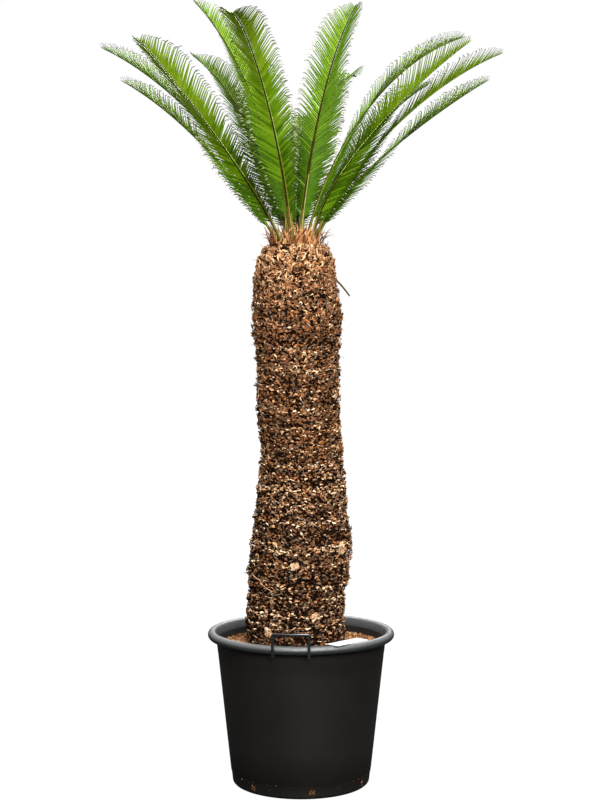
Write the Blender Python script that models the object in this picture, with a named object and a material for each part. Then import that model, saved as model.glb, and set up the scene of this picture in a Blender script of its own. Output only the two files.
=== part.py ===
"""A sago palm standing in its black nursery pot, in metres, with +Z up.

The origin is the middle of the pot's flat underside. The front is towards -Y.
"""

import math
import random

import bmesh
import bpy
from mathutils import Matrix, Vector
from mathutils.bvhtree import BVHTree

# Clearance between two pieces that touch.
GAP = 0.0003

# Pot: a tapered tub with a rolled rim. Its wall radius grows evenly with height.
POT_SIDES = 48
POT_HEIGHT = 0.410
POT_FOOT_RADIUS = 0.1843
POT_TAPER = 0.1102
POT_WALL = 0.0036
POT_FLOOR = 0.005
POT_EDGE = 0.0100
STEP_HEIGHT = 0.035
STEP_DEPTH = 0.0014
RIM_TUBE_RADIUS = 0.0117
RIM_OUTER_RADIUS = 0.250
RIM_CENTRE_RADIUS = RIM_OUTER_RADIUS - RIM_TUBE_RADIUS
RIM_CENTRE_HEIGHT = POT_HEIGHT - RIM_TUBE_RADIUS

# Seven drain holes through the wall, just above the floor.
DRAIN_COUNT = 7
DRAIN_RADIUS = 0.0085
DRAIN_HEIGHT = 0.0190
DRAIN_FIRST_HEADING = -132.4

# Soil: it fills the pot to about 34 mm under the rim, a little lower at the wall.
SOIL_TOP = 0.376
SOIL_EDGE_DROP = 0.007
SOIL_FLAT_RADIUS = 0.150

# Carrying handles: a flat bar bent square, clipped under the rim.
HANDLE_WIDTH = 0.100
HANDLE_TOP = 0.4445
HANDLE_FOOT = 0.3815
HANDLE_BAR = 0.0075
HANDLE_THICKNESS = 0.0045
HANDLE_HOOK = 0.0042
HANDLE_HEADING = -96.0
HANDLE_RADIUS = RIM_OUTER_RADIUS + GAP

# Blank tag that lies across the rim.
TAG_SIZE = (0.114, 0.038, 0.0012)
TAG_CENTRE = (0.1194, -0.1858)
TAG_TURN = 44.8

# Trunk: height, radius and sideways lean of its middle, from the soil up.
TRUNK_STATIONS = (
    (0.376, 0.131, -0.012),
    (0.455, 0.131, -0.015),
    (0.510, 0.130, -0.011),
    (0.565, 0.136, -0.006),
    (0.640, 0.135, 0.003),
    (0.755, 0.120, 0.000),
    (0.890, 0.109, 0.001),
    (1.000, 0.110, -0.008),
    (1.130, 0.110, -0.008),
    (1.235, 0.120, -0.009),
    (1.345, 0.110, -0.016),
    (1.395, 0.101, -0.016),
    (1.420, 0.090, -0.013),
    (1.434, 0.083, -0.013),
)
TRUNK_BASE = SOIL_TOP + GAP
TRUNK_TOP = TRUNK_STATIONS[-1][0]
CROWN_X = TRUNK_STATIONS[-1][2]

# Bosses of old leaf bases on the trunk, in staggered rows.
BOSSES_ROUND = 11
BOSS_PITCH = 0.0706
BOSS_HEIGHT = 0.0105
BOSS_BLUNTNESS = 0.65
BOSS_EASE = 0.030
BOSS_TURN = 0.4
BOSS_SHIFT = 0.72
TRUNK_SIDES = 4 * BOSSES_ROUND
TRUNK_ROUGHNESS = 0.0012

# Dead leaf stalk that hangs from the trunk's right side.
STALK_HEADING = -16.0
STALK_HEIGHT = 1.347
STALK_LENGTH = 0.056
STALK_RADIUS = 0.0028

# Ring of pointed tan scales round the feet of the fronds.
SCALE_COUNT = 24
SCALE_RING_INNER = 0.060
SCALE_RING_OUTER = 0.074
SCALE_RING_HEIGHT = 0.006
SCALE_SHORTEST = 0.036
SCALE_LONGEST = 0.066
SCALE_LEAN = 0.12

# Fronds: name, heading, rise at the foot, bend towards the tip, sideways sway,
# extra steepness of the stalk (all in degrees), length along the rib, and how
# long its leaflets are against the usual.
FRONDS = (
    ("frond_left_high", 167, 53, 27, -6, 17, 0.785, 1.0),
    ("frond_left_low", 177, 51, 22, -20, 12, 0.650, 0.90),
    ("frond_front_left", -133, 40, 19, 17, 18, 0.755, 0.90),
    ("frond_tall_left", 141, 72, 32, -4, 7, 0.814, 1.0),
    ("frond_front", -113, 58, 68, 16, 27, 0.837, 0.84),
    ("frond_tall_right", 61, 72, 29, 2, 8, 0.813, 1.0),
    ("frond_front_right", -34, 48, 13, 23, 34, 0.687, 1.0),
    ("frond_right_high", 17, 65, 46, -2, 14, 0.770, 0.94),
    ("frond_right_middle", -8, 52, 30, 8, 18, 0.735, 0.94),
    ("frond_right_low", 13, 41, 10, 3, 34, 0.695, 0.94),
    ("frond_back_left", 126, 58, 28, 4, 22, 0.753, 0.94),
    ("frond_back_arched", 68, 64, 63, 6, 13, 0.824, 0.84),
    ("frond_back_right_low", 45, 50, 24, 0, 17, 0.720, 0.94),
    ("frond_back_low_right", 88, 44, 22, 0, 17, 0.700, 0.94),
    ("frond_back_low_left", 108, 46, 24, 0, 17, 0.700, 0.94),
    ("frond_back_middle", 113, 63, 36, 0, 17, 0.750, 1.0),
)
FOOT_OUTER = 0.050
FOOT_INNER = 0.016
FOOT_SPACING = 0.0165
LOW_RISE = 44.0
STEEP_RISE = 72.0
RIB_FOOT_WIDTH = 0.012
RIB_TIP_WIDTH = 0.0034
RIB_HEIGHT_SHARE = 0.8

# Leaflets: coarse pairs along each rib. Angles are in degrees.
PAIRS = 20
BLADE_START = 0.10
BLADE_END = 0.965
LEAFLET_SHARE = 0.62
LEAFLET_LONGEST = 0.100
LEAFLET_THICKNESS = 0.0018
LEAFLET_GROWN_AT = 0.34
LEAFLET_TAPERS_FROM = 0.72
FOLD_AT_FOOT = -28.0
FOLD_AT_TIP = 31.0
FOLD_CLOSED_AT = 0.72
SWEEP_AT_FOOT = 52.0
SWEEP_AT_TIP = 40.0
CURL_AT_FOOT = 4.0
CURL_AT_TIP = 6.0
LEAFLET_CLEARANCE = 0.0006
LEAFLET_CUTS = (1.0, 0.82, 0.64, 0.48, 0.34)
PATH_STEPS = 120


def clear_scene():
    for item in list(bpy.data.objects):
        bpy.data.objects.remove(item, do_unlink=True)


def material(name, colour, roughness, metallic=0.0):
    made = bpy.data.materials.new(name)
    made.use_nodes = True
    shader = made.node_tree.nodes["Principled BSDF"]
    shader.inputs["Base Color"].default_value = (*colour, 1.0)
    shader.inputs["Roughness"].default_value = roughness
    shader.inputs["Metallic"].default_value = metallic
    made.diffuse_color = (*colour, 1.0)
    return made


def finish(name, mesh_builder, look, parent, smooth_angle=None):
    """Turn a closed bmesh into a named object with its material."""
    bmesh.ops.recalc_face_normals(mesh_builder, faces=mesh_builder.faces[:])
    mesh = bpy.data.meshes.new(name)
    mesh_builder.to_mesh(mesh)
    mesh_builder.free()
    mesh.materials.append(look)
    if smooth_angle is not None:
        mesh.shade_smooth()
        mesh.set_sharp_from_angle(angle=math.radians(smooth_angle))
    item = bpy.data.objects.new(name, mesh)
    bpy.context.collection.objects.link(item)
    item.parent = parent
    return item


def from_faces(points, faces):
    built = bmesh.new()
    corners = [built.verts.new(point) for point in points]
    for face in faces:
        built.faces.new([corners[index] for index in face])
    return built


def turned(profile, sides):
    """Spin an open profile of (radius, height) points once round the Z axis."""
    built = bmesh.new()
    corners = [built.verts.new((radius, 0.0, height)) for radius, height in profile]
    edges = [built.edges.new(pair) for pair in zip(corners, corners[1:])]
    bmesh.ops.spin(
        built,
        geom=corners + edges,
        axis=(0, 0, 1),
        cent=(0, 0, 0),
        angle=2 * math.pi,
        steps=sides,
        use_merge=True,
    )
    bmesh.ops.remove_doubles(built, verts=built.verts[:], dist=1e-6)
    return built


def wall_radius(height):
    return POT_FOOT_RADIUS + POT_TAPER * height


def pot_profile():
    """Underside, rounded foot, wall with its low step, rolled rim, inner wall and floor."""
    profile = [(0.0, 0.0)]
    foot_radius = wall_radius(POT_EDGE) - STEP_DEPTH - POT_EDGE
    for step in range(4):
        angle = math.radians(-90 + 30 * step)
        radius = foot_radius + POT_EDGE * math.cos(angle)
        profile.append((radius, POT_EDGE + POT_EDGE * math.sin(angle)))
    profile.append((wall_radius(STEP_HEIGHT) - STEP_DEPTH, STEP_HEIGHT))
    profile.append((wall_radius(STEP_HEIGHT), STEP_HEIGHT + STEP_DEPTH))
    under_rim = RIM_CENTRE_HEIGHT - RIM_TUBE_RADIUS
    profile.append((wall_radius(under_rim), under_rim - GAP))
    for step in range(7):
        angle = math.radians(-120 + 45 * step)
        radius = RIM_CENTRE_RADIUS + RIM_TUBE_RADIUS * math.cos(angle)
        profile.append((radius, RIM_CENTRE_HEIGHT + RIM_TUBE_RADIUS * math.sin(angle)))
    profile.append((wall_radius(under_rim) - POT_WALL, under_rim))
    profile.append((wall_radius(POT_FLOOR) - POT_WALL, POT_FLOOR))
    profile.append((0.0, POT_FLOOR))
    return profile


def drain_cutter():
    """Seven short pegs that point outwards through the wall."""
    built = bmesh.new()
    for index in range(DRAIN_COUNT):
        heading = math.radians(DRAIN_FIRST_HEADING + 360 * index / DRAIN_COUNT)
        place = Matrix.Rotation(heading, 4, "Z")
        place @= Matrix.Translation((wall_radius(DRAIN_HEIGHT), 0, DRAIN_HEIGHT))
        place @= Matrix.Rotation(math.pi / 2, 4, "Y")
        bmesh.ops.create_cone(
            built,
            cap_ends=True,
            segments=12,
            radius1=DRAIN_RADIUS,
            radius2=DRAIN_RADIUS,
            depth=0.030,
            matrix=place,
        )
    mesh = bpy.data.meshes.new("drain_cutter")
    built.to_mesh(mesh)
    built.free()
    cutter = bpy.data.objects.new("drain_cutter", mesh)
    bpy.context.collection.objects.link(cutter)
    cutter.hide_render = True
    cutter.display_type = "WIRE"
    return cutter


def make_pot(parent):
    look = material("pot_black", (0.011, 0.011, 0.012), 0.42)
    pot = finish("pot", turned(pot_profile(), POT_SIDES), look, parent, 35)
    cut = pot.modifiers.new("drain_holes", "BOOLEAN")
    cut.object = drain_cutter()
    cut.operation = "DIFFERENCE"
    cut.solver = "EXACT"
    return pot


def make_soil(parent, chance):
    """The soil's side follows the pot's inner wall, and its middle is level under the trunk."""
    edge_height = SOIL_TOP - SOIL_EDGE_DROP
    low = POT_FLOOR + GAP

    def side(height):
        return wall_radius(height) - POT_WALL - 2 * GAP

    profile = [(0.0, low), (side(low), low), (side(edge_height), edge_height)]
    rough_radii = (0.205, 0.178)
    for radius in rough_radii:
        share = (side(edge_height) - radius) / (side(edge_height) - SOIL_FLAT_RADIUS)
        profile.append((radius, edge_height + SOIL_EDGE_DROP * share))
    profile.append((SOIL_FLAT_RADIUS, SOIL_TOP))
    profile.append((0.0, SOIL_TOP))
    built = turned(profile, POT_SIDES)
    for corner in built.verts:
        radius = math.hypot(corner.co.x, corner.co.y)
        if SOIL_FLAT_RADIUS + 0.01 < radius < 0.21 and corner.co.z > low + 0.1:
            corner.co.z += chance.uniform(-0.0025, 0.0035)
    look = material("soil_brown", (0.125, 0.070, 0.036), 0.95)
    return finish("soil", built, look, parent)


def handle_path():
    """(along, height) points of the bar's middle line, from one leg over the top to the other."""
    half = HANDLE_WIDTH / 2 - HANDLE_BAR / 2
    top = HANDLE_TOP - HANDLE_BAR / 2
    corner = 0.004
    hook_top = HANDLE_FOOT + HANDLE_HOOK
    left = [(-half, HANDLE_FOOT), (-half, hook_top), (-half, top - corner)]
    bar = [(-half + corner + step * 2 * (half - corner) / 6, top) for step in range(7)]
    right = [(half, top - corner), (half, hook_top), (half, HANDLE_FOOT)]
    return left + bar + right


def make_handle(name, heading, look, parent):
    """Each ring has two points on the rim's side and two on the outer side."""
    path = handle_path()
    points = []
    for index, here in enumerate(path):
        before = Vector(path[max(index - 1, 0)])
        after = Vector(path[min(index + 1, len(path) - 1)])
        along = (after - before).normalized()
        across = Vector((-along.y, along.x))
        turning = abs(along.x) > 0.05 and abs(along.y) > 0.05
        half = HANDLE_BAR / 2 * (1.12 if turning else 1.0)
        for radius in (HANDLE_RADIUS, HANDLE_RADIUS + HANDLE_THICKNESS):
            for side in (-1, 1):
                spot = Vector(here) + across * half * side
                angle = math.radians(heading) + spot.x / HANDLE_RADIUS
                point = (radius * math.cos(angle), radius * math.sin(angle), spot.y)
                points.append(point)
    faces = []
    last = len(path) - 1
    hook_segments = (0, last - 1)
    for index in range(last):
        near = 4 * index
        far = near + 4
        for first, second in ((0, 1), (1, 3), (3, 2), (2, 0)):
            if index in hook_segments and (first, second) == (0, 1):
                continue
            faces.append((near + first, near + second, far + second, far + first))
    faces.append((0, 1, 3, 2))
    faces.append(tuple(4 * last + corner for corner in (0, 1, 3, 2)))
    reach = wall_radius(HANDLE_FOOT + HANDLE_HOOK) + 3 * GAP
    for index in hook_segments:
        ring = [4 * index, 4 * index + 1, 4 * index + 5, 4 * index + 4]
        inner = []
        for corner in ring:
            x, y, z = points[corner]
            shrink = reach / math.hypot(x, y)
            inner.append(len(points))
            points.append((x * shrink, y * shrink, z))
        for step in range(4):
            after = (step + 1) % 4
            faces.append((ring[step], ring[after], inner[after], inner[step]))
        faces.append(tuple(inner))
    return finish(name, from_faces(points, faces), look, parent)


def make_tag(parent):
    built = bmesh.new()
    bmesh.ops.create_cube(built, size=1.0)
    bmesh.ops.scale(built, verts=built.verts[:], vec=TAG_SIZE)
    look = material("tag_white", (0.80, 0.80, 0.78), 0.5)
    tag = finish("blank_tag", built, look, parent)
    tag.location = (*TAG_CENTRE, POT_HEIGHT + GAP + TAG_SIZE[2] / 2)
    tag.rotation_euler.z = math.radians(TAG_TURN)
    return tag


def trunk_at(height):
    """Radius and sideways offset of the trunk's middle, eased between its stations."""
    for low, high in zip(TRUNK_STATIONS, TRUNK_STATIONS[1:]):
        if height <= high[0]:
            break
    share = min(max((height - low[0]) / (high[0] - low[0]), 0.0), 1.0)
    share = share * share * (3 - 2 * share)
    radius = low[1] + (high[1] - low[1]) * share
    return radius, low[2] + (high[2] - low[2]) * share


def boss_rise(angle, height):
    """How far a boss lifts the bark here: diamonds in staggered rows, level at both cuts."""
    around = (angle - math.radians(BOSS_TURN)) * BOSSES_ROUND / (2 * math.pi)
    upwards = (height - TRUNK_BASE) / BOSS_PITCH + BOSS_SHIFT
    away = abs(around - round(around)) + abs(upwards - round(upwards))
    lift = abs(1 - 2 * away) ** BOSS_BLUNTNESS
    to_cut = min(height - TRUNK_BASE, TRUNK_TOP - height)
    return BOSS_HEIGHT * (lift - 0.5) * min(max(to_cut / BOSS_EASE, 0), 1)


def make_trunk(parent, chance):
    """A leaning, tapering column of leaf-base bosses, with level cuts at both ends."""
    rings = round((TRUNK_TOP - TRUNK_BASE) / (BOSS_PITCH / 4))
    points = []
    for ring in range(rings + 1):
        height = TRUNK_BASE + (TRUNK_TOP - TRUNK_BASE) * ring / rings
        radius, offset = trunk_at(height)
        roughness = TRUNK_ROUGHNESS if 0 < ring < rings else 0
        for side in range(TRUNK_SIDES):
            angle = 2 * math.pi * side / TRUNK_SIDES + math.radians(BOSS_TURN)
            reach = radius + boss_rise(angle, height) + chance.uniform(-1, 1) * roughness
            x = offset + reach * math.cos(angle)
            points.append((x, reach * math.sin(angle), height))
    faces = []
    for ring in range(rings):
        for side in range(TRUNK_SIDES):
            low = ring * TRUNK_SIDES + side
            low_after = ring * TRUNK_SIDES + (side + 1) % TRUNK_SIDES
            high = low + TRUNK_SIDES
            high_after = low_after + TRUNK_SIDES
            if (ring + side) % 2:
                faces.append((low, low_after, high_after))
                faces.append((low, high_after, high))
            else:
                faces.append((low, low_after, high))
                faces.append((low_after, high_after, high))
    faces.append(tuple(range(TRUNK_SIDES)))
    faces.append(tuple(range(rings * TRUNK_SIDES, (rings + 1) * TRUNK_SIDES)))
    look = material("trunk_bark", (0.150, 0.083, 0.042), 0.9)
    return finish("trunk", from_faces(points, faces), look, parent)


def make_stalk(trunk, parent):
    """A six-sided stick whose root is parallel to the bark that it hangs from."""
    surface = BVHTree.FromPolygons(
        [corner.co for corner in trunk.data.vertices],
        [tuple(face.vertices) for face in trunk.data.polygons],
    )
    heading = math.radians(STALK_HEADING)
    outwards = Vector((math.cos(heading), math.sin(heading), 0))
    start = Vector((CROWN_X, 0, STALK_HEIGHT)) + outwards * 0.3
    root, normal, _, _ = surface.ray_cast(start, -outwards)
    first = normal.orthogonal().normalized()
    second = normal.cross(first)
    hang = (outwards * 0.66 - Vector((0, 0, 1)) * 0.75).normalized()
    bow = Vector((0, 0, 1)) * 0.002
    points = []
    for share, size in ((0.0, 1.0), (0.15, 0.95), (0.6, 0.9), (1.0, 0.7)):
        middle = root + normal * (GAP + 0.002 * min(share * 6, 1))
        middle += hang * STALK_LENGTH * share + bow * math.sin(math.pi * share)
        for side in range(6):
            angle = 2 * math.pi * side / 6
            reach = first * math.cos(angle) + second * math.sin(angle)
            points.append(middle + reach * STALK_RADIUS * size)
    faces = [tuple(range(6)), tuple(range(18, 24))]
    for ring in range(3):
        for side in range(6):
            after = (side + 1) % 6
            low = 6 * ring
            faces.append((low + side, low + after, low + 6 + after, low + 6 + side))
    look = material("stalk_brown", (0.120, 0.066, 0.034), 0.85)
    return finish("dead_stalk", from_faces(points, faces), look, parent)


def spread_feet():
    """Low fronds stand on the outside of the crown and steep ones inside, none too close."""
    feet = []
    for _, heading, rise, *_ in FRONDS:
        share = min(max((rise - LOW_RISE) / (STEEP_RISE - LOW_RISE), 0), 1)
        radius = FOOT_OUTER + (FOOT_INNER - FOOT_OUTER) * share
        angle = math.radians(heading)
        feet.append(Vector((radius * math.cos(angle), radius * math.sin(angle))))
    for _ in range(400):
        for first in range(len(feet)):
            for second in range(first):
                apart = feet[first] - feet[second]
                if apart.length < FOOT_SPACING:
                    push = apart.normalized() * (FOOT_SPACING - apart.length) / 2
                    feet[first] += push
                    feet[second] -= push
            if feet[first].length > FOOT_OUTER:
                feet[first] *= FOOT_OUTER / feet[first].length
    return feet


class Rib:
    """The curved middle line of one frond, with its direction at each place."""

    def __init__(self, spec, foot):
        _, heading, rise, bend, sway, steeper, self.length, self.fullness = spec
        self.points = [Vector((CROWN_X + foot.x, foot.y, TRUNK_TOP + GAP))]
        self.angles = []
        for step in range(PATH_STEPS):
            share = (step + 0.5) / PATH_STEPS
            lift = rise - bend * share**2 + steeper * (1 - share) ** 5
            lift = math.radians(lift)
            turn = math.radians(heading + sway * share)
            self.angles.append((lift, turn))
            flat = math.cos(lift)
            way = Vector((flat * math.cos(turn), flat * math.sin(turn), math.sin(lift)))
            self.points.append(self.points[-1] + way * self.length / PATH_STEPS)

    def frame(self, share):
        """Point, direction, side and upper face of the rib at this share of its length."""
        place = share * PATH_STEPS
        index = min(int(place), PATH_STEPS - 1)
        point = self.points[index].lerp(self.points[index + 1], place - index)
        lift, turn = self.angles[index]
        flat = math.cos(lift)
        way = Vector((flat * math.cos(turn), flat * math.sin(turn), math.sin(lift)))
        side = Vector((math.sin(turn), -math.cos(turn), 0))
        return point, way, side, side.cross(way)

    def ring(self, share):
        """Left edge, right edge and upper ridge of the three-sided rib."""
        point, _, side, up = self.frame(share)
        width = RIB_TIP_WIDTH + (RIB_FOOT_WIDTH - RIB_TIP_WIDTH) * (1 - share) ** 1.6
        height = width * RIB_HEIGHT_SHARE
        return [
            point - side * width / 2 - up * height / 3,
            point + side * width / 2 - up * height / 3,
            point + up * height * 2 / 3,
        ]

    def foot_ring(self):
        """The first ring, slid along the rib onto a level plane just over the trunk."""
        _, way, _, _ = self.frame(0)
        level = TRUNK_TOP + GAP
        return [point + way * (level - point.z) / way.z for point in self.ring(0)]


def leaflet_size(place):
    """Length, angle from the rib, fold and curl of a leaflet, from foot (0) to tip (1).

    The two rows lie back at the foot of the blade and close into a V from its middle on.
    """
    grown = min(place / LEAFLET_GROWN_AT, 1.0)
    tapered = max((place - LEAFLET_TAPERS_FROM) / (1 - LEAFLET_TAPERS_FROM), 0.0)
    length = LEAFLET_LONGEST * (0.38 + 0.62 * grown * (2 - grown)) * (1 - 0.80 * tapered**1.8)
    sweep = SWEEP_AT_TIP + (SWEEP_AT_FOOT - SWEEP_AT_TIP) * (1 - place) ** 2.4
    closing = min(place / FOLD_CLOSED_AT, 1.0)
    closing = closing * closing * (3 - 2 * closing)
    fold = FOLD_AT_FOOT + (FOLD_AT_TIP - FOLD_AT_FOOT) * closing
    curl = CURL_AT_FOOT + (CURL_AT_TIP - CURL_AT_FOOT) * place
    return length, math.radians(sweep), math.radians(fold), math.radians(curl)


def leaflet(rib, start, end, side_sign, cut, extra=0.0):
    """Root corners, middle corners and tip of one leaflet, grown by extra on every side."""
    middle_share = (start + end) / 2
    place = (middle_share - BLADE_START) / (BLADE_END - BLADE_START)
    length, sweep, fold, curl = leaflet_size(place)
    length *= cut * rib.fullness
    _, way, side, up = rib.frame(middle_share)
    out = side * side_sign * math.cos(fold) + up * math.sin(fold)
    heading = way * math.cos(sweep) + out * math.sin(sweep)
    bent = sweep + curl
    tip_heading = way * math.cos(bent) + out * math.sin(bent)
    across = (way - heading * way.dot(heading)).normalized()
    above = across.cross(heading) * side_sign
    if above.dot(up) < 0:
        above = -above
    edge = 1 if side_sign > 0 else 0
    ring_start = rib.ring(start)
    ring_end = rib.ring(end)
    root = [ring_start[edge], ring_end[edge], ring_end[2], ring_start[2]]
    root_middle = (root[0] + root[1] + root[2] + root[3]) / 4
    width = (end - start) * rib.length * math.sin(sweep) * 0.86
    middle = root_middle + heading * length * 0.5
    half = width / 2 + extra
    corners = [
        middle - across * half - above * extra,
        middle + across * half - above * extra,
        middle + above * (LEAFLET_THICKNESS + extra),
    ]
    tip = middle + tip_heading * (length * 0.5 + 2 * extra)
    return root, corners, tip


LEAFLET_FACES = (
    (0, 1, 5, 4),
    (1, 2, 5),
    (2, 3, 6),
    (2, 6, 5),
    (3, 4, 6),
    (3, 0, 4),
    (4, 5, 7),
    (5, 6, 7),
    (6, 4, 7),
)


def leaflet_probe(rib, start, end, side_sign, cut):
    """A slightly swollen leaflet, to see whether the real one would touch a neighbour."""
    root, corners, tip = leaflet(rib, start, end, side_sign, cut, LEAFLET_CLEARANCE)
    return BVHTree.FromPolygons(root + corners + [tip], LEAFLET_FACES)


def blade_shares():
    """Start and end of each leaflet's root along the rib."""
    pitch = (BLADE_END - BLADE_START) / PAIRS
    for index in range(PAIRS):
        start = BLADE_START + pitch * index
        yield start, start + pitch * LEAFLET_SHARE


def frond_mesh(rib, cuts):
    """Points and faces of a rib whose sides are drawn out into leaflets."""
    rings = [rib.foot_ring(), rib.ring(BLADE_START / 2)]
    roots = {}
    for index, (start, end) in enumerate(blade_shares()):
        roots[len(rings)] = (index, start, end)
        rings.append(rib.ring(start))
        rings.append(rib.ring(end))
    rings.append(rib.ring(BLADE_END))
    points = [point for ring in rings for point in ring]
    faces = [(0, 1, 2)]
    for near in range(len(rings) - 1):
        low = 3 * near
        high = low + 3
        faces.append((low, low + 1, high + 1, high))
        for edge, sign in ((0, -1), (1, 1)):
            cut = 0
            if near in roots:
                index, start, end = roots[near]
                cut = cuts.get((index, sign), 0)
            if not cut:
                faces.append((low + edge, high + edge, high + 2, low + 2))
                continue
            _, corners, tip = leaflet(rib, start, end, sign, cut)
            numbers = [low + edge, high + edge, high + 2, low + 2]
            numbers += range(len(points), len(points) + 4)
            points += corners + [tip]
            faces += [tuple(numbers[corner] for corner in face) for face in LEAFLET_FACES]
    last = 3 * (len(rings) - 1)
    points.append(rib.points[-1])
    for first, second in ((0, 1), (1, 2), (2, 0)):
        faces.append((last + first, last + second, len(points) - 1))
    return points, faces


def make_fronds(scales_tree, ribs, rib_trees, parent):
    """A leaflet that would touch another frond or a scale is shortened, and at last left out."""
    leafy = list(rib_trees)
    for number, rib in enumerate(ribs):
        others = [tree for other, tree in enumerate(leafy) if other != number]
        others.append(scales_tree)
        cuts = {}
        for index, (start, end) in enumerate(blade_shares()):
            for sign in (-1, 1):
                for cut in LEAFLET_CUTS:
                    probe = leaflet_probe(rib, start, end, sign, cut)
                    if not any(probe.overlap(tree) for tree in others):
                        cuts[index, sign] = cut
                        break
        points, faces = frond_mesh(rib, cuts)
        leafy[number] = BVHTree.FromPolygons(points, faces)
        finish(FRONDS[number][0], from_faces(points, faces), frond_look(number), parent)


def scale_corners(angle, width, reach, height):
    """Middle corners and tip of one pointed scale that leans outwards."""
    outwards = Vector((math.cos(angle), math.sin(angle), 0))
    across = Vector((-math.sin(angle), math.cos(angle), 0))
    base = Vector((CROWN_X, 0, TRUNK_TOP + GAP + SCALE_RING_HEIGHT))
    middle = base + outwards * (reach + 0.003) + Vector((0, 0, height * 0.45))
    thick = outwards * 0.0014
    corners = [
        middle - across * width / 2 - thick,
        middle + across * width / 2 - thick,
        middle + across * width / 2 + thick,
        middle - across * width / 2 + thick,
    ]
    tip = base + outwards * (reach + 0.004 + height * SCALE_LEAN) + Vector((0, 0, height))
    return corners, tip


def make_scales(rib_trees, parent, chance):
    """A flat ring with every second piece of its top drawn up to a point, clear of the ribs."""
    places = 2 * SCALE_COUNT
    low = TRUNK_TOP + GAP
    high = low + SCALE_RING_HEIGHT
    section = (
        (SCALE_RING_INNER, low),
        (SCALE_RING_OUTER, low),
        (SCALE_RING_OUTER, high),
        (SCALE_RING_INNER, high),
    )
    points = []
    for place in range(places):
        angle = 2 * math.pi * place / places
        for radius, height in section:
            x = CROWN_X + radius * math.cos(angle)
            points.append(Vector((x, radius * math.sin(angle), height)))
    faces = []
    middle_radius = (SCALE_RING_INNER + SCALE_RING_OUTER) / 2
    width = 2 * math.pi * middle_radius / places
    for place in range(places):
        near = 4 * place
        far = 4 * ((place + 1) % places)
        for first, second in ((0, 1), (1, 2), (3, 0)):
            faces.append((near + first, near + second, far + second, far + first))
        root = [near + 3, far + 3, far + 2, near + 2]
        angle = 2 * math.pi * (place + 0.5) / places
        height = chance.uniform(SCALE_SHORTEST, SCALE_LONGEST)
        drawn = None
        for cut in (1.0, 0.75, 0.55) if place % 2 == 0 else ():
            corners, tip = scale_corners(angle, width, middle_radius, height * cut)
            trial = [points[index] for index in root] + corners + [tip]
            quads = [(a, (a + 1) % 4, 4 + (a + 1) % 4, 4 + a) for a in range(4)]
            quads += [(4 + a, 4 + (a + 1) % 4, 8) for a in range(4)]
            probe = BVHTree.FromPolygons(trial, quads)
            if not any(probe.overlap(tree) for tree in rib_trees):
                drawn = corners + [tip]
                break
        if drawn is None:
            faces.append(tuple(root))
            continue
        numbers = root + list(range(len(points), len(points) + 5))
        points += drawn
        faces += [tuple(numbers[index] for index in quad) for quad in quads]
    tree = BVHTree.FromPolygons(points, faces)
    look = material("scale_tan", (0.50, 0.225, 0.085), 0.8)
    finish("crown_scales", from_faces(points, faces), look, parent)
    return tree


def frond_look(number):
    """Each frond is a slightly different green."""
    shift = 0.02 * math.sin(2.4 * number)
    colour = (0.110 + shift, 0.235 + shift, 0.022)
    return material(f"frond_green_{number + 1:02d}", colour, 0.45)


def main():
    clear_scene()
    plant = bpy.data.objects.new("palm_in_pot", None)
    bpy.context.collection.objects.link(plant)
    make_pot(plant)
    make_soil(plant, random.Random(11))
    handle_look = material("handle_black", (0.014, 0.014, 0.016), 0.4)
    make_handle("handle_front", HANDLE_HEADING, handle_look, plant)
    back_look = material("handle_back_black", (0.014, 0.014, 0.016), 0.4)
    make_handle("handle_back", HANDLE_HEADING + 180, back_look, plant)
    make_tag(plant)
    trunk = make_trunk(plant, random.Random(23))
    make_stalk(trunk, plant)
    ribs = [Rib(spec, foot) for spec, foot in zip(FRONDS, spread_feet())]
    rib_trees = [BVHTree.FromPolygons(*frond_mesh(rib, {})) for rib in ribs]
    scales_tree = make_scales(rib_trees, plant, random.Random(37))
    make_fronds(scales_tree, ribs, rib_trees, plant)


main()
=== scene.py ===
import math

import bmesh
import bpy
import numpy as np
from mathutils import Matrix, Vector, noise


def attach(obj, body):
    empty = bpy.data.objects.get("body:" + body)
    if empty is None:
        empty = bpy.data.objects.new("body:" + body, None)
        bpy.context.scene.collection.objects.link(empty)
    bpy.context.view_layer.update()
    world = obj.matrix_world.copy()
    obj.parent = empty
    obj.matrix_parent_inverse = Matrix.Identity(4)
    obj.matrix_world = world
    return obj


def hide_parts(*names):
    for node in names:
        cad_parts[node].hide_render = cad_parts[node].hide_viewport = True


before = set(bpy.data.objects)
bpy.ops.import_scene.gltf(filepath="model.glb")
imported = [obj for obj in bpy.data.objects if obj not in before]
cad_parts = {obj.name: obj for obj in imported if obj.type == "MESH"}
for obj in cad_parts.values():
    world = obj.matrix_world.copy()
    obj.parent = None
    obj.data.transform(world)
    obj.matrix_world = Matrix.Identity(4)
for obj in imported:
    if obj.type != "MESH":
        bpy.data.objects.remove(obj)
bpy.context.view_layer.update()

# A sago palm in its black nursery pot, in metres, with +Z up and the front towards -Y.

GAP = 0.0003
FULL_TURN = 2 * math.pi
UP = np.array([0, 0, 1.0])
WHITE = (1.0, 1.0, 1.0, 1.0)

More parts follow.
